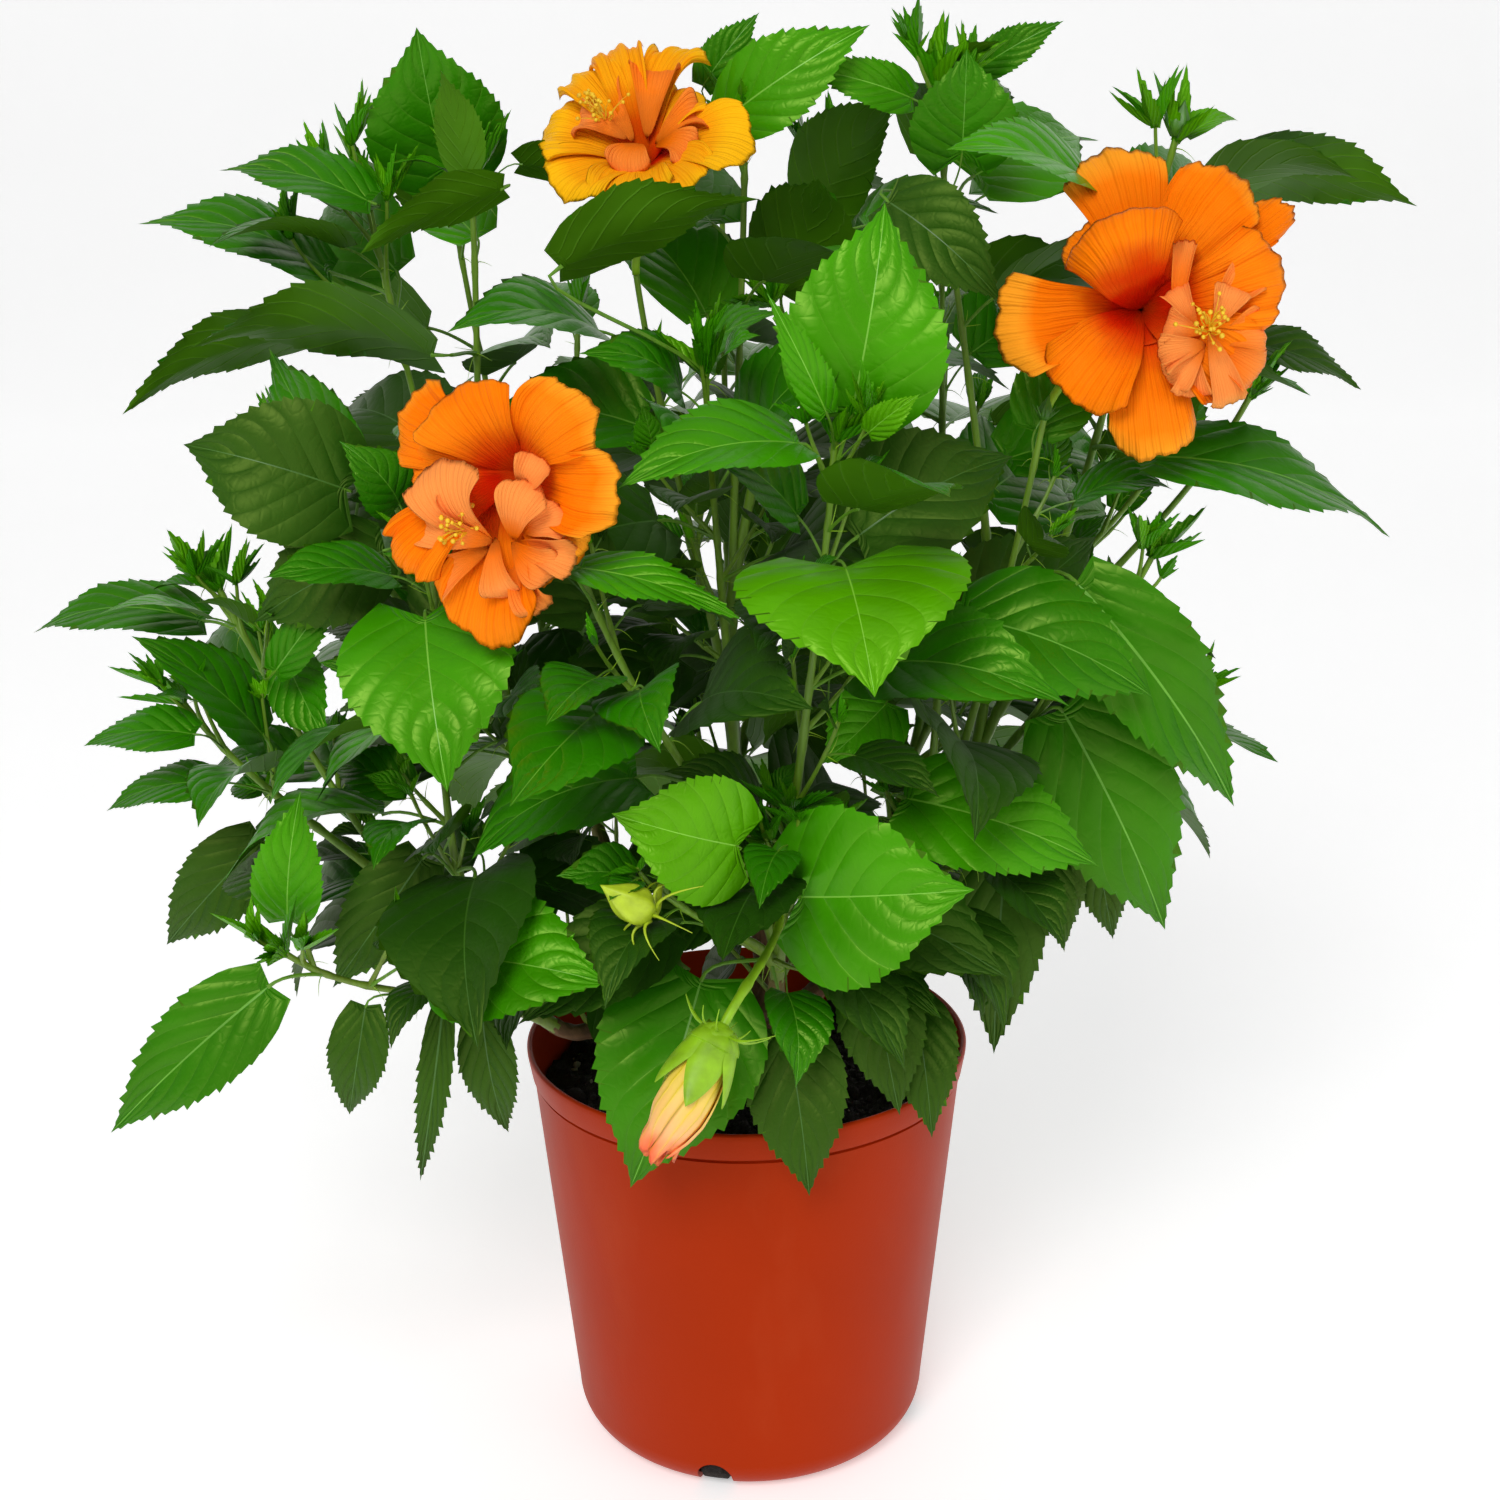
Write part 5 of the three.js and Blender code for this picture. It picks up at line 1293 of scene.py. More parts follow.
def stem_tube(path, radii, nodes, sides, step=4.0):
    """A stem along a path: its radius falls as a power and swells as a bell curve at each leaf."""
    rings = max(6, int(path.length / step))
    t = linspace(0, 1, rings)
    base = radii[1] + (radii[0] - radii[1]) * (1 - t) ** 2.4
    nodes = asarray(nodes, float)
    swell = exp(-(((t[:, None] - nodes) * path.length / 2.6) ** 2)).sum(1) if len(nodes) else 0 * t
    radius = base * (1 + 0.3 * clip(swell, 0, 1))
    t, radius = concatenate([[0], t, [1]]), concatenate([[0], radius, [0]])
    return tube_points(path.point(t), radius, sides, path.tangent(t)), tube(rings + 2, sides)


def shares_of(crown, shoot):
    """Where along a shoot its leaves stand."""
    own = [leaf for leaf in crown.leaves if leaf["shoot"]["key"] == shoot["key"]]
    line = shoot["path"].point(linspace(0, 1, 101))
    roots = [leaf["root"] for leaf in own]
    return [norm(line - root, axis=-1).argmin() / 100 for root in roots]


FOLIAGE = tuple("foliage_" + name for name in BOUGHS)


class Maker:
    """A step that makes some of the pieces with the shrub's sizes and colours."""

    def execute(self, context):
        self.make(context.scene.shrub_sizes, context.scene.shrub_colours)
        return {"FINISHED"}


class MakeStems(Maker, Operator):
    """Green shoots and twigs, with the stalks of the leaves and the threads at their feet"""

    bl_idname = "shrub.make_stems"
    bl_label = "Stems and stalks"

    def make(self, sizes, colours):
        crown = grown_plant()
        shoots = Gathering()
        for shoot in crown.shoots:
            leader = shoot["key"] % 8 == 0
            radii = (BOUGH_RADIUS[1] if leader else SHOOT_RADIUS[0], SHOOT_RADIUS[1] + 0.25)
            shoots.add(*stem_tube(shoot["path"], radii, shares_of(crown, shoot), 12))
        for twig in crown.twigs:
            shoots.add(*stem_tube(twig["path"], TWIG.radius, shares_of(crown, twig), 7))
        green = stem_finish("stem_skin", colours.stem, shaded(colours.bark, 0.9))
        show(shoots.mesh("stems"), [green], FOLIAGE)
        stalks = Gathering()
        stalks.add(*petiole_tubes(crown.leaves))
        show(stalks.mesh("leaf_stalks"), [green_finishes()["stalk"]], FOLIAGE)
        threads = Gathering()
        rows = []
        for number, leaf in enumerate(crown.leaves):
            stalk = unit(leaf["foot"] - leaf["root"])
            first, second = across(stalk)
            for hand in (-1, 1):
                side = blend((first, hand), (second, 0.5), (UP, 0.3))
                drop = -0.8 if chance(number, 62) > 0.4 else 0.5
                rows.append((
                    leaf["root"] + stalk * 1.2, blend((stalk, 0.9), (side, 0.55)),
                    blend((side, 0.7), (UP, drop)), between(5, 10, number, 61 + hand)))
        threads.add(*curled_threads(*(array(column) for column in zip(*rows)), 0.38))
        show(threads.mesh("stipules"), [green_finishes()["calyx"]], FOLIAGE)


class MakeLeaves(Maker, Operator):
    """Toothed, folded leaves, one piece for each leaf colour"""

    bl_idname = "shrub.make_leaves"
    bl_label = "Leaves"

    def make(self, sizes, colours):
        crown = grown_plant()
        blades = {
            "large": Blade(15, (0, 0.2, 0.4, 0.6, 0.8, 1), (0, 0.35, 0.7, 1), True),
            "common": Blade(11, (0, 0.55, 1), (0, 1), False),
            "small": Blade(7, (0, 1), (0, 1), False),
            "young": Blade(5, (0, 1), (0, 1), False),
        }
        groups = {}
        for number, leaf in enumerate(crown.leaves):
            leaf["wave"] = between(0.5, 1.5, number, 98) * leaf["length"] / 90
            kind = "large" if leaf["share"] is None else "common" if leaf["length"] > 34 else "small"
            groups.setdefault(tone_of(leaf, number), {}).setdefault(kind, []).append(leaf)
        for leaf in tip_leaves(crown):
            groups.setdefault(leaf["tone"], {}).setdefault("young", []).append(leaf)
        shared = green_finishes()
        vein = array(colours.midrib)
        for tone, kinds in groups.items():
            colour = tuple(getattr(colours, tone + "_leaf"))
            pale = tuple(array(colour) + (vein - colour) * MIDRIB_SHARE[tone])
            gathered = Gathering()
            for kind, leaves in kinds.items():
                blade = blades[kind]
                finish = 0 if kind == "young" else None
                gathered.add(blade.points(leaves, sizes), blade.weave, blade.place(), finish)
            top = leaf_finish(tone + "_leaf", colour, pale, 0.42 if tone == "deep" else 0.28)
            midrib = plain_finish(tone + "_midrib", pale, 0.42, 0.18)
            show(gathered.mesh(tone + "_leaves"), [top, midrib, shared["underside"]], FOLIAGE, 60)


# ---- pot and soil

POT = SimpleNamespace(
    band=14.5, band_foot=105.6, wall_top=104.3, foot=87.5, corner=19.0, wall=1.8,
    base=2.4, sides=288, notches=4, notch_width=17.0, notch_height=17.5, notch_turn=-102,
)


def wall_radius(height, inset):
    """The wall's radius at a height: a straight run from foot to band."""
    share = (height - POT.corner) / (POT_HEIGHT - POT.band - POT.corner)
    return POT.foot + (POT.wall_top - POT.foot) * maximum(share, 0) - inset


def corner_line(inset, steps):
    """A quarter circle from the flat foot out to the wall."""
    angle = linspace(0, pi / 2, steps)
    radius = POT.corner - inset
    return stack([POT.foot - POT.corner + radius * sin(angle), POT.corner - radius * cos(angle)], 1)


def turned(profile, sides):
    """A profile of radius and height turned round the pot's axis, from the foot up the outside."""
    turn = turns(sides)
    r, z = profile[:, 0, None], profile[:, 1, None]
    return together(r * cos(turn), r * sin(turn), z)


def rounded(points, radius, steps=4):
    """A profile with a short quadratic curve in place of each corner."""
    result = [points[0][None]]
    t = linspace(0, 1, steps)[:, None]
    for a, b, c in zip(points[:-2], points[1:-1], points[2:]):
        before, after = norm(a - b), norm(c - b)
        p, q = b + (a - b) * min(0.45, radius / before), b + (c - b) * min(0.45, radius / after)
        result.append((1 - t) ** 2 * p + 2 * (1 - t) * t * b + t**2 * q)
    return concatenate([*result, points[-1][None]])


def refined(profile, step):
    """A profile with points no further apart than a step."""
    pieces = [profile[:1]]
    for a, b in zip(profile[:-1], profile[1:]):
        count = max(1, math.ceil(norm(b - a) / step))
        pieces.append(a + (b - a) * (arange(1, count + 1) / count)[:, None])
    return concatenate(pieces)


class MakePot(Maker, Operator):
    """The round pot with its band, groove, rolled lip and arched drain notches"""

    bl_idname = "shrub.make_pot"
    bl_label = "Pot"

    def make(self, sizes, colours):
        band = POT_HEIGHT - POT.band
        groove = sizes.groove / MM
        top = POT.wall_top
        outside = array([
            [top, band - 1.3], [top - groove, band - 0.9], [top - groove, band + 0.3],
            [POT.band_foot - 0.2, band + 0.7], [RIM_RADIUS - 0.2, POT_HEIGHT - 3.2],
            [RIM_RADIUS - 0.1, POT_HEIGHT - 1.0], [RIM_RADIUS - 1.2, POT_HEIGHT],
            [RIM_RADIUS - 2.4, POT_HEIGHT - 0.5], [RIM_RADIUS - 2.9, POT_HEIGHT - 2.2],
            [wall_radius(band, POT.wall), band - 4],
        ])
        outside = rounded(outside, 0.5, 3)
        inside = corner_line(POT.base, 9)[::-1]
        profile = concatenate([
            [[0, 0.5], [40, 0.5], [60, 0.4], [64, 0.0]], corner_line(0, 22),
            refined(outside, 14), inside, [[0, POT.base]]])
        gathered = Gathering()
        table = tube(len(profile), POT.sides)
        # The groove's faces take the second finish: painted shade of the undercut, with a little dirt.
        in_groove = (profile[:, 1] > band - 1.2) & (profile[:, 1] < band + 0.62)
        in_groove = in_groove & (profile[:, 0] > top - groove - 0.2)
        table.finish = np.repeat(in_groove[:-1] & in_groove[1:], POT.sides).astype(int)
        gathered.add(turned(profile, POT.sides), table)
        blank = gathered.mesh("pot_blank")
        cutter = Gathering()
        half = POT.notch_width / 2
        arch = linspace(0, pi, 17)
        curve = stack([half * cos(arch), POT.notch_height - half + half * sin(arch)], 1)
        outline = concatenate([[[half, -5]], curve, [[-half, -5]]])
        near, far = POT.foot - POT.corner - 8, POT.foot + 8
        for k in range(POT.notches):
            turn = math.radians(POT.notch_turn) + 2 * math.pi * k / POT.notches
            out = array([math.cos(turn), math.sin(turn), 0])
            side = array([-math.sin(turn), math.cos(turn), 0])
            flat = outline[:, :1] * side + outline[:, 1:] * UP
            middle = broadcast_to(flat.mean(0), flat.shape)
            rings = stack([out * near + middle, out * near + flat, out * far + flat, out * far + middle])
            cutter.add(rings, tube(4, len(outline)))
        shaped = carved(blank, cutter.mesh("notch_cutter"))
        shaped.name = "pot_shell"
        show(shaped, [pot_finish(colours.pot), groove_shade_and_dirt_finish(colours.pot)], ("pot",), 32)


def carved(mesh, cutter):
    """A mesh with the cutter's closed forms taken out of it."""
    scene = bpy.context.scene.collection.objects
    body, tool = bpy.data.objects.new("carved", mesh), bpy.data.objects.new("cutter", cutter)
    scene.link(body)
    scene.link(tool)
    change = body.modifiers.new("notches", "BOOLEAN")
    change.operation, change.solver, change.object = "DIFFERENCE", "EXACT", tool
    depsgraph = bpy.context.evaluated_depsgraph_get()
    result = bpy.data.meshes.new_from_object(body.evaluated_get(depsgraph))
    bpy.data.objects.remove(body)
    bpy.data.objects.remove(tool)
    result.materials.clear()
    return result


SOIL_SIDES = 220
# The soil behind each drain notch: how far it stays off the pot's outside, the radius there and
# how far it stays off the notch's edge.
PLUG = SimpleNamespace(inset=0.9, radius=84.0, gap=1.3)


def soil_height(radius):
    """The soil's height without its lumps: flat in the middle and 5 mm lower at the wall."""
    return SOIL_TOP - 5 + 5 * clip((1 - radius / 97) / 0.64, 0, 1)


def soil_lumps(points):
    return ripple(points, 26, 5) * 1.1 + ripple(points, 9, 6) * 0.8


class MakeSoil(Maker, Operator):
    """Lumpy potting mix that fills the pot, with loose crumbs and pale grit on it"""

    bl_idname = "shrub.make_soil"
    bl_label = "Soil"

    def make(self, sizes, colours):
        lump = sizes.soil_lump / MM
        edge = SOIL_TOP - 5
        heights = linspace(POT.corner + 1, edge - 3, 40)
        wall = stack([wall_radius(heights, POT.wall) - 1.2, heights], 1)
        radii = linspace(1, 0, 60)[:, None] ** 0.8 * (wall_radius(edge, POT.wall) - 1.2)
        over = concatenate([radii, soil_height(radii)], 1)
        low = concatenate([[[0, POT.base + 0.3]], corner_line(POT.base + 0.3, 8)[:-1] * [0.985, 1]])
        profile = concatenate([low, wall, over])
        points = turned(profile, SOIL_SIDES)
        upper = (arange(len(profile)) >= len(profile) - len(over))[:, None]
        height = soil_lumps(points) + ripple(points, 4, 7) * 0.55
        fade = clip(hypot(points[..., 0], points[..., 1]) / 3, 0, 1)
        points[..., 2] += np.where(upper, height * lump * fade, 0)
        radial = np.where(upper, 1, 1 - 0.008 * (1 + ripple(points, 7, 8)))
        points[..., :2] *= radial[..., None]
        plug = turned(corner_line(PLUG.inset, 8)[:-1], SOIL_SIDES)
        turn = np.arctan2(plug[..., 1], plug[..., 0]) - math.radians(POT.notch_turn)
        aside = PLUG.radius * np.arcsin(sin(turn * POT.notches / 2)) * 2 / POT.notches
        half = POT.notch_width / 2
        inside = hypot(aside, maximum(plug[..., 2] - POT.notch_height + half, 0)) < half - PLUG.gap
        corner = points[1:1 + len(plug)]
        corner[:] = np.where(inside[..., None], plug, corner)
        gathered = Gathering()
        gathered.add(points, tube(len(profile), SOIL_SIDES))
        mix = soil_finish(colours.soil)
        show(gathered.mesh("soil_mix"), [mix], ("soil",), 180)
        crumbs = Gathering()
        dice = np.random.default_rng(11)
        count = 900
        radius, turn = 94 * np.sqrt(dice.uniform(0.03, 1, count)), dice.uniform(0, 2 * pi, count)
        size = dice.gamma(3.0, 0.42, count) + 0.5
        centre = together(radius * cos(turn), radius * sin(turn), soil_height(radius))
        centre[:, 2] += soil_lumps(centre) * lump + size * 0.35
        centre, (ball, grain) = centre[:, None, None], round_form(6, 5)
        stretch = dice.uniform(0.6, 1.3, (count, 1, 1, 3)) * size[:, None, None, None]
        lumps = centre + ball * stretch * (1 + 0.25 * ripple(ball + centre, 3, 12)[..., None])
        pale = dice.uniform(size=count) < 0.12
        crumbs.add(lumps[~pale], grain, finish=0)
        crumbs.add(centre[pale] + (lumps[pale] - centre[pale]) * 0.55, grain, finish=1)
        show(crumbs.mesh("soil_crumbs"), [mix, grit_finish(colours.crumb)], ("soil",), 180)


# ---- wood

def bark_tube(path, radius_at, sides, step, depth, seed):
    """A limb in bark: the radius along the path plus ripples stretched along it."""
    rings = max(6, int(path.length / step))
    t = linspace(0, 1, rings)
    radius = radius_at(t)
    centres, directions = path.point(t), path.tangent(t)
    flat = tube_points(centres, radius, sides, directions)
    turn = turns(sides)
    run = t[:, None] * path.length
    wrap = together(cos(turn) * 5, sin(turn) * 5, run * 0.22 + seed * 9.0)
    rough = ripple(wrap, 3.4, seed) + 0.6 * ripple(wrap, 1.6, seed + 1)
    scar = exp(-((((run + 7 * seed) % 27) - 13) / 1.6) ** 2) * 0.9
    relief = depth * (rough + scar)
    points = centres[:, None] + (flat - centres[:, None]) * (1 + relief / radius[:, None])[..., None]
    points = concatenate([centres[:1, None] + 0 * points[:1], points, centres[-1:, None] + 0 * points[-1:]])
    return points, tube(rings + 2, sides)


class StubbedPath:
    """A straight stub that runs on into a curve."""

    def __init__(self, foot, path, onward):
        self.foot, self.path, self.onward = foot, path, onward
        self.stub = norm(path.knots[0] - foot)
        self.length = self.stub + path.length + onward
        self.breaks = array([0, self.stub, self.stub + path.length, self.length]) / self.length

    def shares(self, t):
        """How far along the stub, the curve and the stretch past its end each t is."""
        t = asarray(t, float)[..., None]
        low, high = self.breaks[:-1], self.breaks[1:]
        return clip((t - low) / (high - low), 0, 1)

    def point(self, t):
        stub, curve, past = np.moveaxis(self.shares(t), -1, 0)[..., None]
        start = self.path.knots[0]
        return self.foot + (start - self.foot) * stub + self.path.point(curve[..., 0]) - start + (
            self.path.tangent(1.0) * self.onward * past)

    def tangent(self, t):
        return self.path.tangent(self.shares(t)[..., 1])


def trunk_radius(t):
    """Wide at the soil, falling as a fourth power to a straight taper, rounded in at the top."""
    return TRUNK.stem + (TRUNK.flare - TRUNK.stem) * (1 - t) ** 4 - 3 * t - 8 * clip(t - 0.86, 0, 1)


def arm_radius(t):
    wide, narrow = TRUNK.arm_radius
    return wide + (narrow - wide) * t + 1.2 * t**6


def knuckle_radius(t):
    """A ball's radius along its axis: the root of a sine."""
    return 0.3 + 7.4 * sin(pi * clip(t, 0.02, 0.98)) ** 0.5


def bough_radius(t):
    low, high = BOUGH_RADIUS
    return low + (high - low) * t + 0.9 * (1 - t) ** 5


class MakeWood(Maker, Operator):
    """Trunk with its flare, its three arms and the boughs on them, in furrowed bark"""

    bl_idname = "shrub.make_wood"
    bl_label = "Trunk and boughs"

    def make(self, sizes, colours):
        depth = sizes.bark_relief / MM
        wood = Gathering()
        foot, crown_top = array([0, 0, GROUND - 2.5]), array([0, 0, GROUND + TRUNK.height + 3])
        stem = Path(foot, UP, crown_top, UP)

        wood.add(*bark_tube(stem, trunk_radius, 48, 1.2, depth * 1.5, 3))
        knuckles = knuckle_points()
        for number, knuckle in enumerate(knuckles.values()):
            start = array([0, 0, GROUND + TRUNK.arm_foot])
            lean = unit(knuckle - start)
            arm = Path(start, blend((lean, 1), (UP, -0.1)), knuckle, blend((lean, 0.7), (UP, 0.6)))
            wood.add(*bark_tube(arm, arm_radius, 34, 1.2, depth * 1.2, 20 + number))
            ball = Path(knuckle - UP * 7, UP, knuckle + UP * 7.5, UP)
            wood.add(*bark_tube(ball, knuckle_radius, 30, 0.8, depth, 30 + number))
        for number, bough in enumerate(grown_plant().boughs):
            whole = StubbedPath(bough["knuckle"], bough["path"], 2.5)
            wood.add(*bark_tube(whole, bough_radius, 22, 1.6, depth * 0.7, 40 + number))
        bark = bark_finish(colours.bark, colours.stem)
        show(wood.mesh("wood"), [bark], ("trunk", *("bough_" + name for name in BOUGHS)), 180)


# ---- blooms

# The petals of each bloom: turn from the right (degrees), length and half width (mm), bow forward,
# lift of the end (mm), cup, ruffle (mm), waves of the edge, how pointed the end is and how much of
# the run from red to yellow it has. Then the inner petals: foot right, up and forward of the middle
# (mm), turn, length, half width, bow, tilt right and up, cup and the same run. Then the foot and the
# way of the anthers' threads, the middle of the throat and whether the petals are golden.
BLOOM_FORMS = {
    "bloom_left": {"petals": [
        (154, 51, 18, 0.08, -8, 0.1, 2.6, 2.2, 1, 0.95), (116, 37, 21, 0.16, 0, 0.3, 1.8, 1.8, 1, 0.9),
        (47, 46, 18, 0.14, -1, 0.3, 2.8, 2.8, 1, 1.0), (-12, 49, 18, 0.1, -1, 0.3, 2.6, 2.2, 1, 1.05),
        (-43, 43, 14, 0.05, -3, 0.2, 2.6, 2.0, 1, 1.1), (-95, 68, 21, 0.02, -1, 0.5, 1.6, 1.5, 2.0, 0.72),
        (-142, 53, 14, 0.22, 3, -0.2, 3.6, 2.8, 1, 0.8), (180, 40, 16, 0.08, -5, 0.1, 2.0, 2.0, 1, 0.8),
        (-68, 45, 17, 0.02, -5, 0.1, 2.0, 2.0, 1, 0.8),
    ], "inner": [
        (-7, -17, 8, 101, 37, 16, 0.45, -0.1, -0.1, 0.5, 0.9),
        (6, -12, 9, 72, 24, 10, 0.45, 0.2, 0.1, 0.7, 0.9), (9, 5, 8, 56, 17, 8, 0.5, 0.3, 0.2, 1.1, 0.9),
        (-5, -15, 10, 146, 26, 12, 0.5, -0.3, -0.1, 0.6, 0.85),
        (-3, -14, 8, -64, 22, 9, 0.35, 0, -0.3, 0.8, 0.45),
        (5, -15, 8, -28, 21, 9, 0.3, 0.2, -0.2, 0.8, 0.4), (7, -15, 7, -3, 25, 8, 0.3, 0.3, -0.1, 0.9, 0.6),
        (-7, -18, 7, -152, 24, 9, 0.35, -0.2, -0.3, 0.8, 0.4),
        (4, -19, 6, -58, 25, 8, 0.3, 0.1, -0.3, 0.9, 0.35), (10, -9, 8, 28, 19, 8, 0.4, 0.3, 0.1, 0.8, 0.8),
    ], "threads": ((-11, -8, 12), (-0.2, 0.25, 1)), "throat": (1, 12), "gold": False},
    "bloom_right": {"petals": [
        (99, 64, 20, 0.08, -8, 0.15, 2.4, 2.4, 1, 1.05), (62, 63, 19, 0.06, -5, 0.2, 2.2, 2.2, 1, 0.95),
        (32, 71, 10, 0.02, -9, 0.5, 1.4, 1.4, 2.4, 0.9), (130, 41, 15, 0.1, -7, 0.1, 2.0, 2.0, 1, 0.9),
        (194, 60, 21, 0.05, 1, 0.3, 1.6, 2.0, 1, 1.15), (8, 56, 20, 0.12, -2, 0.2, 3.4, 3.2, 1, 0.9),
        (-30, 53, 19, 0.12, -4, 0.2, 3.0, 3.0, 1, 0.75), (-85, 62, 19, 0.0, -3, -0.25, 1.6, 1.5, 1.2, 1.0),
        (-129, 48, 21, 0.12, 2, 0.25, 2.6, 2.4, 1, 0.85), (116, 35, 24, 0.75, 4, -0.95, 0.8, 1.4, 1, 0.68),
    ], "inner": [
        (23, -17, 9, 190, 18, 8, 0.5, -0.3, -0.1, 0.8, 1.0),
        (23, -19, 9, 224, 18, 8, 0.5, -0.2, -0.4, 0.9, 0.95),
        (26, -15, 12, -70, 28, 8, 0.35, 0.1, -0.5, 0.9, 1.1),
        (19, -10, 9, 111, 18, 6, 0.4, -0.3, 0.3, 0.9, 0.8), (28, -10, 9, 78, 17, 8, 0.5, 0.2, 0.3, 0.8, 1.0),
        (11, -7, 7, 81, 32, 5, 0.25, -0.1, 0.2, 1.0, 0.35),
        (21, -12, 8, 165, 14, 7, 0.5, -0.4, 0.1, 0.9, 0.7),
        (30, -15, 8, 22, 18, 10, 0.4, 0.4, 0.1, 0.7, 0.35),
        (29, -18, 7, -38, 20, 10, 0.4, 0.3, -0.3, 0.8, 0.35),
        (19, -20, 8, -92, 18, 8, 0.4, 0, -0.4, 0.8, 0.8), (27, -6, 6, 58, 24, 9, 0.3, 0.2, 0.2, 0.8, 0.35),
    ], "threads": ((25, -11, 12), (0.1, 0.25, 1)), "throat": (-1, -1), "gold": False},
    "bloom_top": {"petals": [
        (184, 43, 18, 0.12, 0, 0.25, 2.4, 2.4, 1, 1.2), (136, 45, 15, 0.32, -3, 0.2, 3.2, 2.6, 1, 1.1),
        (110, 48, 13, 0.36, -3, 0.3, 3.2, 2.8, 1, 0.95), (80, 50, 12, 0.3, -5, 0.3, 3.0, 2.6, 1, 1.1),
        (48, 34, 13, 0.2, -4, 0.2, 2.4, 2.2, 1, 1.0), (-2, 49, 19, 0.06, 0, 0.3, 1.4, 1.8, 1, 1.25),
        (-45, 42, 18, 0.08, 0, 0.2, 2.2, 2.2, 1, 1.0), (-88, 40, 19, 0.1, 0, 0.2, 2.4, 2.2, 1, 1.0),
        (-128, 43, 19, 0.1, 0, 0.2, 2.4, 2.2, 1, 1.1),
    ], "inner": [
        (-6, -2, 7, 132, 24, 11, 0.5, -0.3, 0.2, 0.7, 0.4), (2, 0, 8, 84, 27, 12, 0.5, 0.1, 0.2, 0.8, 0.25),
        (-8, -4, 8, 178, 20, 9, 0.5, -0.4, 0, 0.8, 0.5), (8, -4, 7, 34, 22, 10, 0.4, 0.4, 0.2, 0.8, 0.25),
        (0, -8, 7, -96, 18, 10, 0.4, 0, -0.4, 0.6, 0.3), (8, -7, 6, -24, 18, 9, 0.4, 0.4, -0.2, 0.7, 0.3),
    ], "threads": ((-16, 0, 11), (-0.55, 0.3, 1)), "throat": (0, -6), "gold": True},
}


# Rows from foot to end and columns across of the petals' grids.
OUTER_GRID, INNER_GRID, FURLED_GRID = (34, 41), (18, 21), (34, 19)


def petal_places(rows, columns):
    """Places on a petal's grid: u across, -1 to 1, and v from its foot, 0, to its end, 1."""
    return meshgrid(linspace(-1, 1, columns), linspace(0, 1, rows))


def petal_grid(centre, facing, right, row, depth, seed, rows, columns):
    """A petal with a broad round end: its half width grows with a power of the way out and its rows
    bend back as arcs, notched at the edge. Its height is a bow forward, less the throat's depth, plus
    a cup across, ruffles that grow with the cube of the way out, fine ribs and a rolled end."""
    turn, length, half, bow, lift, cup, ruffle, waves, point, _ = row
    u, v = petal_places(rows, columns)
    up = np.cross(facing, right)
    notch = 0.5 * sin(5.5 * u + seed) + 0.3 * sin(13 * u + 2.3 * seed) + 0.2 * sin(29 * u + seed)
    wide = half * v**0.62 * (1 + 0.05 * sin(7 * v + seed)) * sin(1.25 * u) / math.sin(1.25)
    round_end = min(1.0, 0.5 * length / half) * half * point
    out = (length - 0.2 * half) * v + 0.2 * half * v**3 - round_end * 0.85 * v**1.6 * (1 - cos(1.25 * u))
    out = out + 0.035 * length * notch * v**6
    bend = math.radians(turn) + 0.10 * math.sin(seed * 1.9) * v**2
    wave = cos(waves * math.pi * u + seed * 1.7) + 0.45 * cos(2.3 * waves * math.pi * u + seed)
    height = bow * length * sin(v * math.pi * 0.72) - depth * (1 - v) ** 1.7 + lift * v
    height = height + cup * half * (u * u - 0.25) * v**1.1
    height = height + ruffle * v**3 * wave * (0.35 + 0.65 * np.abs(u)) + 0.9 * u * v * math.sin(seed)
    height = height + 0.2 * sin(19 * u + 0.6 * sin(9 * v)) * v * (1.15 - v) * 2
    height = height - 0.07 * length * clip((v - 0.8) * 5, 0, 1) ** 2 * (1 + 0.6 * sin(4 * u + seed))
    ahead, aside = out * cos(bend) - wide * sin(bend), out * sin(bend) + wide * cos(bend)
    return centre + right * ahead[..., None] + up * aside[..., None] + facing * height[..., None]


class Bloom:
    """Where a bloom stands: its middle and the directions it faces, right and up."""

    def __init__(self, name):
        _, centre, facing, self.radius = BLOOMS[name]
        self.name, self.centre, self.facing = name, array(centre, float), unit(facing)
        self.right = unit(np.cross(UP, self.facing))
        self.up = np.cross(self.facing, self.right)
        self.form = BLOOM_FORMS[name]
        self.key = list(BLOOMS).index(name)

    def at(self, right, up, forward):
        """A point given right, up and forward of the middle."""
        return self.centre + self.right * right + self.up * up + self.facing * forward

    def way(self, right, up, forward):
        return unit(self.right * right + self.up * up + self.facing * forward)


def profile_tube(foot, way, length, radii, sides, lobes=0, depth=0.0, phase=0.0):
    """A closed form round a straight line: its radius from a table, in and out as a cosine at lobes."""
    t = linspace(0, 1, len(radii))
    centres = foot + way * (t * length)[:, None]
    turn = turns(sides)
    ways = broadcast_to(way, centres.shape)
    ring = tube_points(centres, ones(len(radii)), sides, ways) - centres[:, None]
    rib = 1 + depth * cos(lobes * turn + phase) * sin(pi * t)[:, None]
    return centres[:, None] + ring * (asarray(radii)[:, None] * rib)[..., None], tube(len(radii), sides)


def spokes(way, turn):
    """Directions square to a way, one for each turn round it."""
    first, second = across(way)
    return first * cos(turn)[:, None] + second * sin(turn)[:, None]


def throat_bowl(foot, way, radius, depth):
    """A closed shallow bowl, out under and back over: its rise follows the square of the radius."""
    share = array([0, 0.3, 0.6, 0.85, 1, 0.97, 0.8, 0.55, 0.25, 0])
    lift = array([0, 0, 0, 0, 0, 1, 1, 1, 1, 1])
    rise = share**2 * depth + lift * 0.7
    turn = turns(36)
    ring = spokes(way, turn)
    return foot + way * rise[:, None, None] + ring * (share * radius)[:, None, None], tube(len(share), 36)


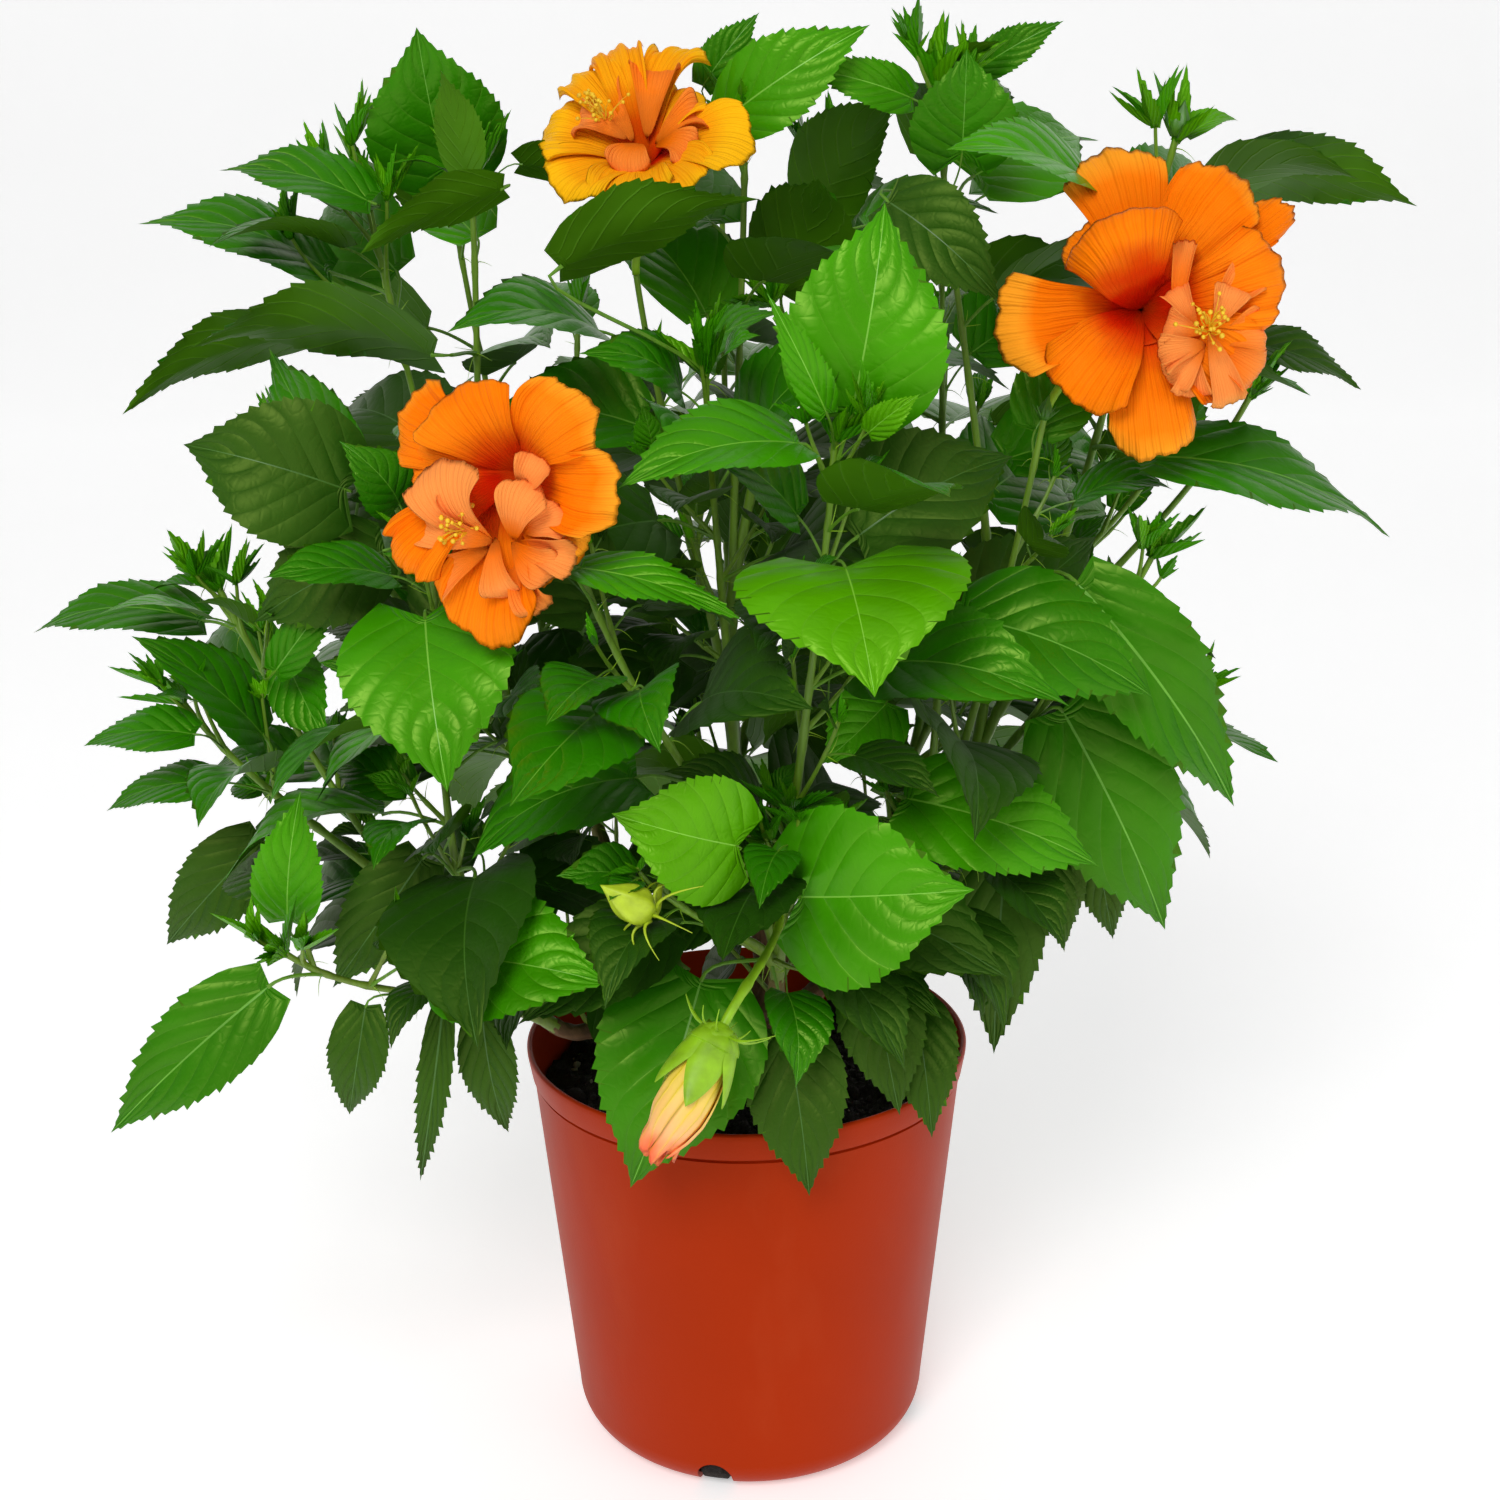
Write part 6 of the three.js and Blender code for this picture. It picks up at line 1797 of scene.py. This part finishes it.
def bracts(foot, way, count, length, radius, spread, width, seed, curl=0.9):
    """The narrow bracts round a calyx: threads that leave it sideways and bend or curl back."""
    turn = turns(count) + seed
    out = spokes(way, turn)
    lengths = length * (0.85 + 0.3 * sin(turn * 3 + seed) ** 2)
    ways = unit(out * spread + way)
    bends = out * curl * (0.6 + 0.5 * sin(turn * 2 + seed))[:, None] + way * (0.2 - 0.9 * max(curl, 0))
    return curled_threads(foot + out * radius, ways, bends, lengths, width, 5, 9)


class MakeBlooms(Maker, Operator):
    """Three double blooms: ruffled outer petals, small inner petals, anthers, calyx and stalk"""

    bl_idname = "shrub.make_blooms"
    bl_label = "Blooms"

    def make(self, sizes, colours):
        thick = sizes.petal_thickness / MM
        inner, threads, anthers, calyx = Gathering(), Gathering(), Gathering(), Gathering()
        for bloom in map(Bloom, BLOOMS):
            outer = Gathering()
            centre = bloom.at(*bloom.form["throat"], 0)
            depth = 0.36 * bloom.radius
            for number, row in enumerate(bloom.form["petals"]):
                seed = 1.3 * number + bloom.key
                grid = petal_grid(centre, bloom.facing, bloom.right, row, depth, seed, *OUTER_GRID)
                outer.add_shell(grid, thick, row[-1])
            low = centre - bloom.facing * (depth + 1.5)
            points, weave = throat_bowl(low, bloom.facing, 0.24 * bloom.radius, depth * 0.5)
            outer.add(points, weave, np.full((weave.total, 2), 0.12))
            petal, edge = colours.petal, colours.petal_edge
            if bloom.form["gold"]:
                petal, edge = colours.gold_petal, shaded(colours.gold_petal, 1.25)
            finish = petal_finish(bloom.name + "_petal", colours.throat, petal, edge)
            show(outer.mesh(bloom.name + "_petals"), [finish], (bloom.name,), 180)
            for number, row in enumerate(bloom.form["inner"]):
                right, up, forward, turn, length, half, bow, tilt_right, tilt_up, cup, reach = row
                facing = bloom.way(tilt_right, tilt_up, 1)
                across_way = unit(bloom.right - facing * np.dot(bloom.right, facing))
                petal_row = (turn, length, half, bow, 0, cup, 1.1, 1.7, 1, reach)
                foot = bloom.at(right, up, forward - 6)
                seed = 2.1 * number + bloom.key
                grid = petal_grid(foot, facing, across_way, petal_row, length * 0.3, seed, *INNER_GRID)
                inner.add_shell(grid, thick, reach)
            self.make_threads(bloom, threads, anthers)
            stalk = bloom_stalk(grown_plant(), bloom.name)
            calyx.add(*stem_tube(stalk, (1.7, 2.2), [0.55], 10, 3))
            back = bloom.at(0, 0, -0.66 * bloom.radius)
            cup = array([0, 0.5, 0.8, 0.93, 1, 1.02, 1.0, 0.97, 0.9, 0.7, 0]) * bloom.radius * 0.135
            calyx.add(*profile_tube(back, bloom.facing, bloom.radius * 0.27, cup, 30, 5, 0.1))
            calyx.add(*bracts(back + bloom.facing * 3, bloom.facing, 8, 13, 2.2, 1.1, 0.9, bloom.key, 0.2))
        edge = shaded(colours.petaloid, 1.15)
        finish = petal_finish("petaloid", colours.petal, colours.petaloid, edge, 0.12)
        show(inner.mesh("inner_petals"), [finish], BLOOMS, 180)
        yellow = plain_finish("anther", colours.anther, 0.55, 0.25, 300)
        show(threads.mesh("anther_threads"), [yellow], BLOOMS)
        show(anthers.mesh("anthers"), [yellow], BLOOMS, 180)
        show(calyx.mesh("calyxes"), [green_finishes()["calyx"]], BLOOMS, 180)

    def make_threads(self, bloom, threads, anthers):
        """Threads that fan out from the middle of the inner petals, each with an anther at its end."""
        place, way = bloom.form["threads"]
        count = 26
        dice = np.random.default_rng(50 + bloom.key)
        root = bloom.at(*place) - bloom.facing * 6
        side = dice.normal(size=(count, 2)) * 0.42
        ways = unit(bloom.way(*way) + bloom.right * side[:, :1] + bloom.up * side[:, 1:])
        bends = unit(dice.normal(size=(count, 3))) * 0.3
        lengths = dice.uniform(9, 17, count)
        roots = root + (bloom.right * side[:, :1] + bloom.up * side[:, 1:]) * 3
        threads.add(*curled_threads(roots, ways, bends, lengths, 0.42, 4, 6))
        ends = roots + ways * lengths[:, None] * 0.65 + bends * lengths[:, None] * 0.9
        ball, weave = round_form(6, 5)
        anthers.add(ends[:, None, None] + ball * dice.uniform(0.75, 1.15, (count, 1, 1, 1)), weave)


# ---- buds

GREEN_BUD = SimpleNamespace(length=17.0, radius=4.3)
PALE_BUD = SimpleNamespace(way=(-0.72, -0.3, 0.6), length=28.0, radius=7.6, ahead=(-3, -21, -5))
CALYX_PROFILE = (0, 0.5, 0.78, 0.93, 1, 0.99, 0.94, 0.85, 0.73, 0.58, 0.42, 0.27, 0.13, 0)


def round_line(foot, way, along, radius, angle):
    """Points along a straight line from its foot, each a radius off it at an angle round it."""
    first, second = across(way)
    x, y = radius * cos(angle), radius * sin(angle)
    return foot + way * along[..., None] + first * x[..., None] + second * y[..., None]


def furled_petal(foot, way, length, radius, turn, rows, columns):
    """A petal wrapped round the bud: the turn runs across it and twists along it, the radius swells
    and closes as sines, one edge is tucked under the next petal and the end is ragged."""
    u, v = petal_places(rows, columns)
    angle = turn + 1.15 * u + 0.9 * v
    body = radius * (0.34 + 0.66 * sin(pi * clip(0.12 + 0.66 * v, 0, 1)))
    flare = 2.6 * clip(v - 0.84, 0, 1) / 0.16 * cos(3 * u + turn)
    r = body * (1 + 0.09 * u) * (1 - 0.22 * clip(v - 0.7, 0, 1) / 0.3) + flare * 0.6
    r = r + 0.22 * sin(17 * u) * v + 1.5 * clip(v - 0.86, 0, 1) / 0.14 * sin(9 * u + 2.1 * turn)
    along = length * (v + 0.07 * v**4 * cos(2.6 * u + 1.7 * turn) + 0.05 * v**6 * sin(8 * u + turn))
    return round_line(foot, way, along, r, angle)


def sepal(foot, way, length, radius, turn, rows=16, columns=9):
    """A pointed lobe of the calyx: its turn narrows to the tip and its radius follows the bud."""
    u, v = petal_places(rows, columns)
    angle = turn + 0.74 * u * (1 - clip(v - 0.45, 0, 1) / 0.55) ** 0.85
    r = radius * (0.3 + 0.78 * sin(pi * clip(0.08 + 0.44 * v, 0, 1))) + 1.1 * v**4 + 0.5 * (1 - u * u)
    along = length * v
    return round_line(foot, way, along, r, angle)


class MakeBuds(Maker, Operator):
    """The opening bud over the rim, the pale bud and the green buds at the shoots' tips"""

    bl_idname = "shrub.make_buds"
    bl_label = "Buds"

    def make(self, sizes, colours):
        crown = grown_plant()
        foot, way = array(OPENING_BUD.foot, float), unit(OPENING_BUD.facing)
        length, radius = OPENING_BUD.length, OPENING_BUD.radius
        petals, cup = Gathering(), Gathering()
        for number in range(5):
            turn = number * 2 * math.pi / 5
            tucked = radius * (0.93 - 0.02 * number)
            petals.add_shell(furled_petal(foot + way * 4, way, length - 5, tucked, turn, *FURLED_GRID), 0.5)
            lobe = sepal(foot, way, length * (0.62 - 0.05 * (number % 3)), radius * 1.04, turn + 0.3)
            cup.add_shell(lobe, 0.6)
        f = Finish("furled_petal", Roughness=0.5)
        u, v = f.map_place()
        warp = f.noise(90, 2)
        tint = f.add("ShaderNodeValToRGB", {"stops": [
            (0.1, from_screen(238, 212, 30)), (0.5, from_screen(250, 212, 96)), (0.8, colours.bud_petal),
            (1.0, from_screen(248, 100, 50))]}, {0: v + (warp - 0.5) * 0.2})
        line = (1 - abs(((u - 0.5) * 17 + warp * 1.6).sine())) ** 2
        tint = f.mix((line * (1.15 - v) * 1.5).clamp(), tint, from_screen(238, 206, 30))
        furled = f.drive(Base_Color=tint, Normal=f.bump(line, 0.4, 0.0008))
        show(petals.mesh("furled_petals"), [furled], ("opening_bud",), 180)
        rim = array([0, 0.35, 0.55, 0.72, 0.84, 0.9, 0.6, 0]) * radius
        cup.add(*profile_tube(foot - way * 2, way, length * 0.26, rim, 30, 5, 0.06))
        cup.add(*stem_tube(bud_stalk(crown), (1.5, 2.0), [0.1, 0.7], 10, 3))
        cup.add(*bracts(foot + way * 1.5, way, 8, 17, radius * 0.3, 1.5, 0.95, 0.4, 1.1))
        show(cup.mesh("opening_calyx"), [green_finishes()["calyx"]], ("opening_bud",), 60)
        buds = Gathering()
        for shoot in crown.shoots:
            end, tangent = shoot["path"].point(1.0), shoot["path"].tangent(1.0)
            if shoot["ending"] == "pale bud":
                way, size, wide, curl = unit(PALE_BUD.way), PALE_BUD.length, PALE_BUD.radius, 1.1
                finish, start = 1, end - tangent * 3
                end = end + array(PALE_BUD.ahead)
                neck = Path(start, tangent, end + way, way)
                buds.add(*stem_tube(neck, (1.3, 1.5), [], 8, 2), finish=finish)
            elif shoot["ending"] == "green bud" or chance(shoot["key"], 99) < 0.4:
                way, size, wide, curl = tangent, GREEN_BUD.length, GREEN_BUD.radius, 0.1
                size, wide = (a * (1 if shoot["ending"] == "green bud" else 0.7) for a in (size, wide))
                finish = 0
            else:
                continue
            profile = array(CALYX_PROFILE) * wide
            body = profile_tube(end - way * 1.5, way, size, profile, 25, 5, 0.13, shoot["key"])
            buds.add(*body, finish=finish)
            thread = 0.5 + 0.015 * size
            ring = bracts(end, way, 8, size * 0.72, wide * 0.45, 0.9, thread, shoot["key"], curl)
            buds.add(*ring, finish=finish)
        pale = plain_finish("pale_bud", from_screen(176, 200, 36), 0.45, 0.25, 160)
        green = plain_finish("green_bud", from_screen(70, 128, 26), 0.45, 0.3, 160)
        show(buds.mesh("green_buds"), [green, pale], FOLIAGE, 180)


# ---- stage

CAMERA = SimpleNamespace(place=(0.0032, -0.986, 0.668), down=17.85, roll=-0.61, lens=52.8)


def area_light(name, place, target, size, power):
    """A square soft light that points from its place to a target."""
    data = bpy.data.lights.new(name, "AREA")
    data.shape, data.size, data.energy = "SQUARE", size, power
    light = bpy.data.objects.new(name, data)
    bpy.context.scene.collection.objects.link(light)
    light.location = place
    light.rotation_euler = (Vector(target) - Vector(place)).to_track_quat("-Z", "Y").to_euler()


class MakeStage(Maker, Operator):
    """Pale floor that curves up behind, soft lights and the camera"""

    bl_idname = "shrub.make_stage"
    bl_label = "Stage"

    def make(self, sizes, colours):
        scene = bpy.context.scene
        lights = scene.studio_lights
        rise = linspace(0, pi / 2, 24)
        line = concatenate([[[-4, 0]], stack([3 + 1.6 * sin(rise), 1.6 * (1 - cos(rise))], 1), [[4.6, 6]]])
        across_x = linspace(-7, 7, 9)
        points = together(across_x[None, :], line[:, :1], line[:, 1:]) / MM
        floor = Gathering()
        floor.add(points, sheet(len(line), len(across_x)))
        mesh = floor.mesh("studio_floor")
        paper = Finish(
            "studio_paper", Roughness=0.9, Emission_Color=(1, 1, 1, 1), Emission_Strength=lights.paper_glow)
        mesh.materials.append(paper.drive(
            Base_Color=paper.mix(paper.noise(3, 2), (0.93, 0.93, 0.93), (0.96, 0.96, 0.96))))
        stage = bpy.data.objects.new("studio_floor", mesh)
        scene.collection.objects.link(stage)
        area_light("key_light", (-0.55, -2.3, 2.25), (0, 0, 0.35), 1.2, lights.key_power)
        area_light("fill_light", (2.1, -1.5, 1.3), (0, 0, 0.35), 1.6, lights.fill_power)
        world = bpy.data.worlds.new("white_room")
        world.use_nodes = True
        world.node_tree.nodes["Background"].inputs["Color"].default_value = (1, 1, 1, 1)
        world.node_tree.nodes["Background"].inputs["Strength"].default_value = lights.sky
        scene.world = world
        camera = bpy.data.objects.new("camera", bpy.data.cameras.new("camera"))
        camera.data.lens, camera.data.sensor_width, camera.data.clip_start = CAMERA.lens, 36, 0.05
        turn = Euler((math.radians(90 - CAMERA.down), 0, 0)).to_matrix()
        turn = turn @ Matrix.Rotation(math.radians(CAMERA.roll), 3, "Z")
        camera.matrix_world = Matrix.Translation(Vector(CAMERA.place)) @ turn.to_4x4()
        scene.collection.objects.link(camera)
        scene.camera = camera
        scene.view_settings.view_transform = "Standard"


# ---- the add-on

OPERATORS = (MakePot, MakeSoil, MakeWood, MakeStems, MakeLeaves, MakeBlooms, MakeBuds, MakeStage)


class ShrubPanel(Panel):
    """Lists the shrub's pieces, sizes and colours"""

    bl_idname = "VIEW3D_PT_shrub"
    bl_label = "Hibiscus shrub"
    bl_space_type = "VIEW_3D"
    bl_region_type = "UI"
    bl_category = "Shrub"

    def draw(self, context):
        for operator in OPERATORS:
            self.layout.operator(operator.bl_idname)
        for group in (context.scene.shrub_sizes, context.scene.shrub_colours, context.scene.studio_lights):
            for name in group.bl_rna.properties.keys():
                if name not in ("rna_type", "name"):
                    self.layout.prop(group, name)


CLASSES = (ShrubSizes, ShrubColours, StudioLights, *OPERATORS, ShrubPanel)


def register():
    for cls in CLASSES:
        bpy.utils.register_class(cls)
    Scene.shrub_sizes = PointerProperty(type=ShrubSizes)
    Scene.shrub_colours = PointerProperty(type=ShrubColours)
    Scene.studio_lights = PointerProperty(type=StudioLights)


def unregister():
    del Scene.studio_lights, Scene.shrub_colours, Scene.shrub_sizes
    for cls in reversed(CLASSES):
        bpy.utils.unregister_class(cls)


def main():
    """Registers the classes and makes every piece in turn."""
    register()
    for operator in OPERATORS:
        group, name = operator.bl_idname.split(".")
        getattr(getattr(bpy.ops, group), name)()


if __name__ == "__main__":
    main()
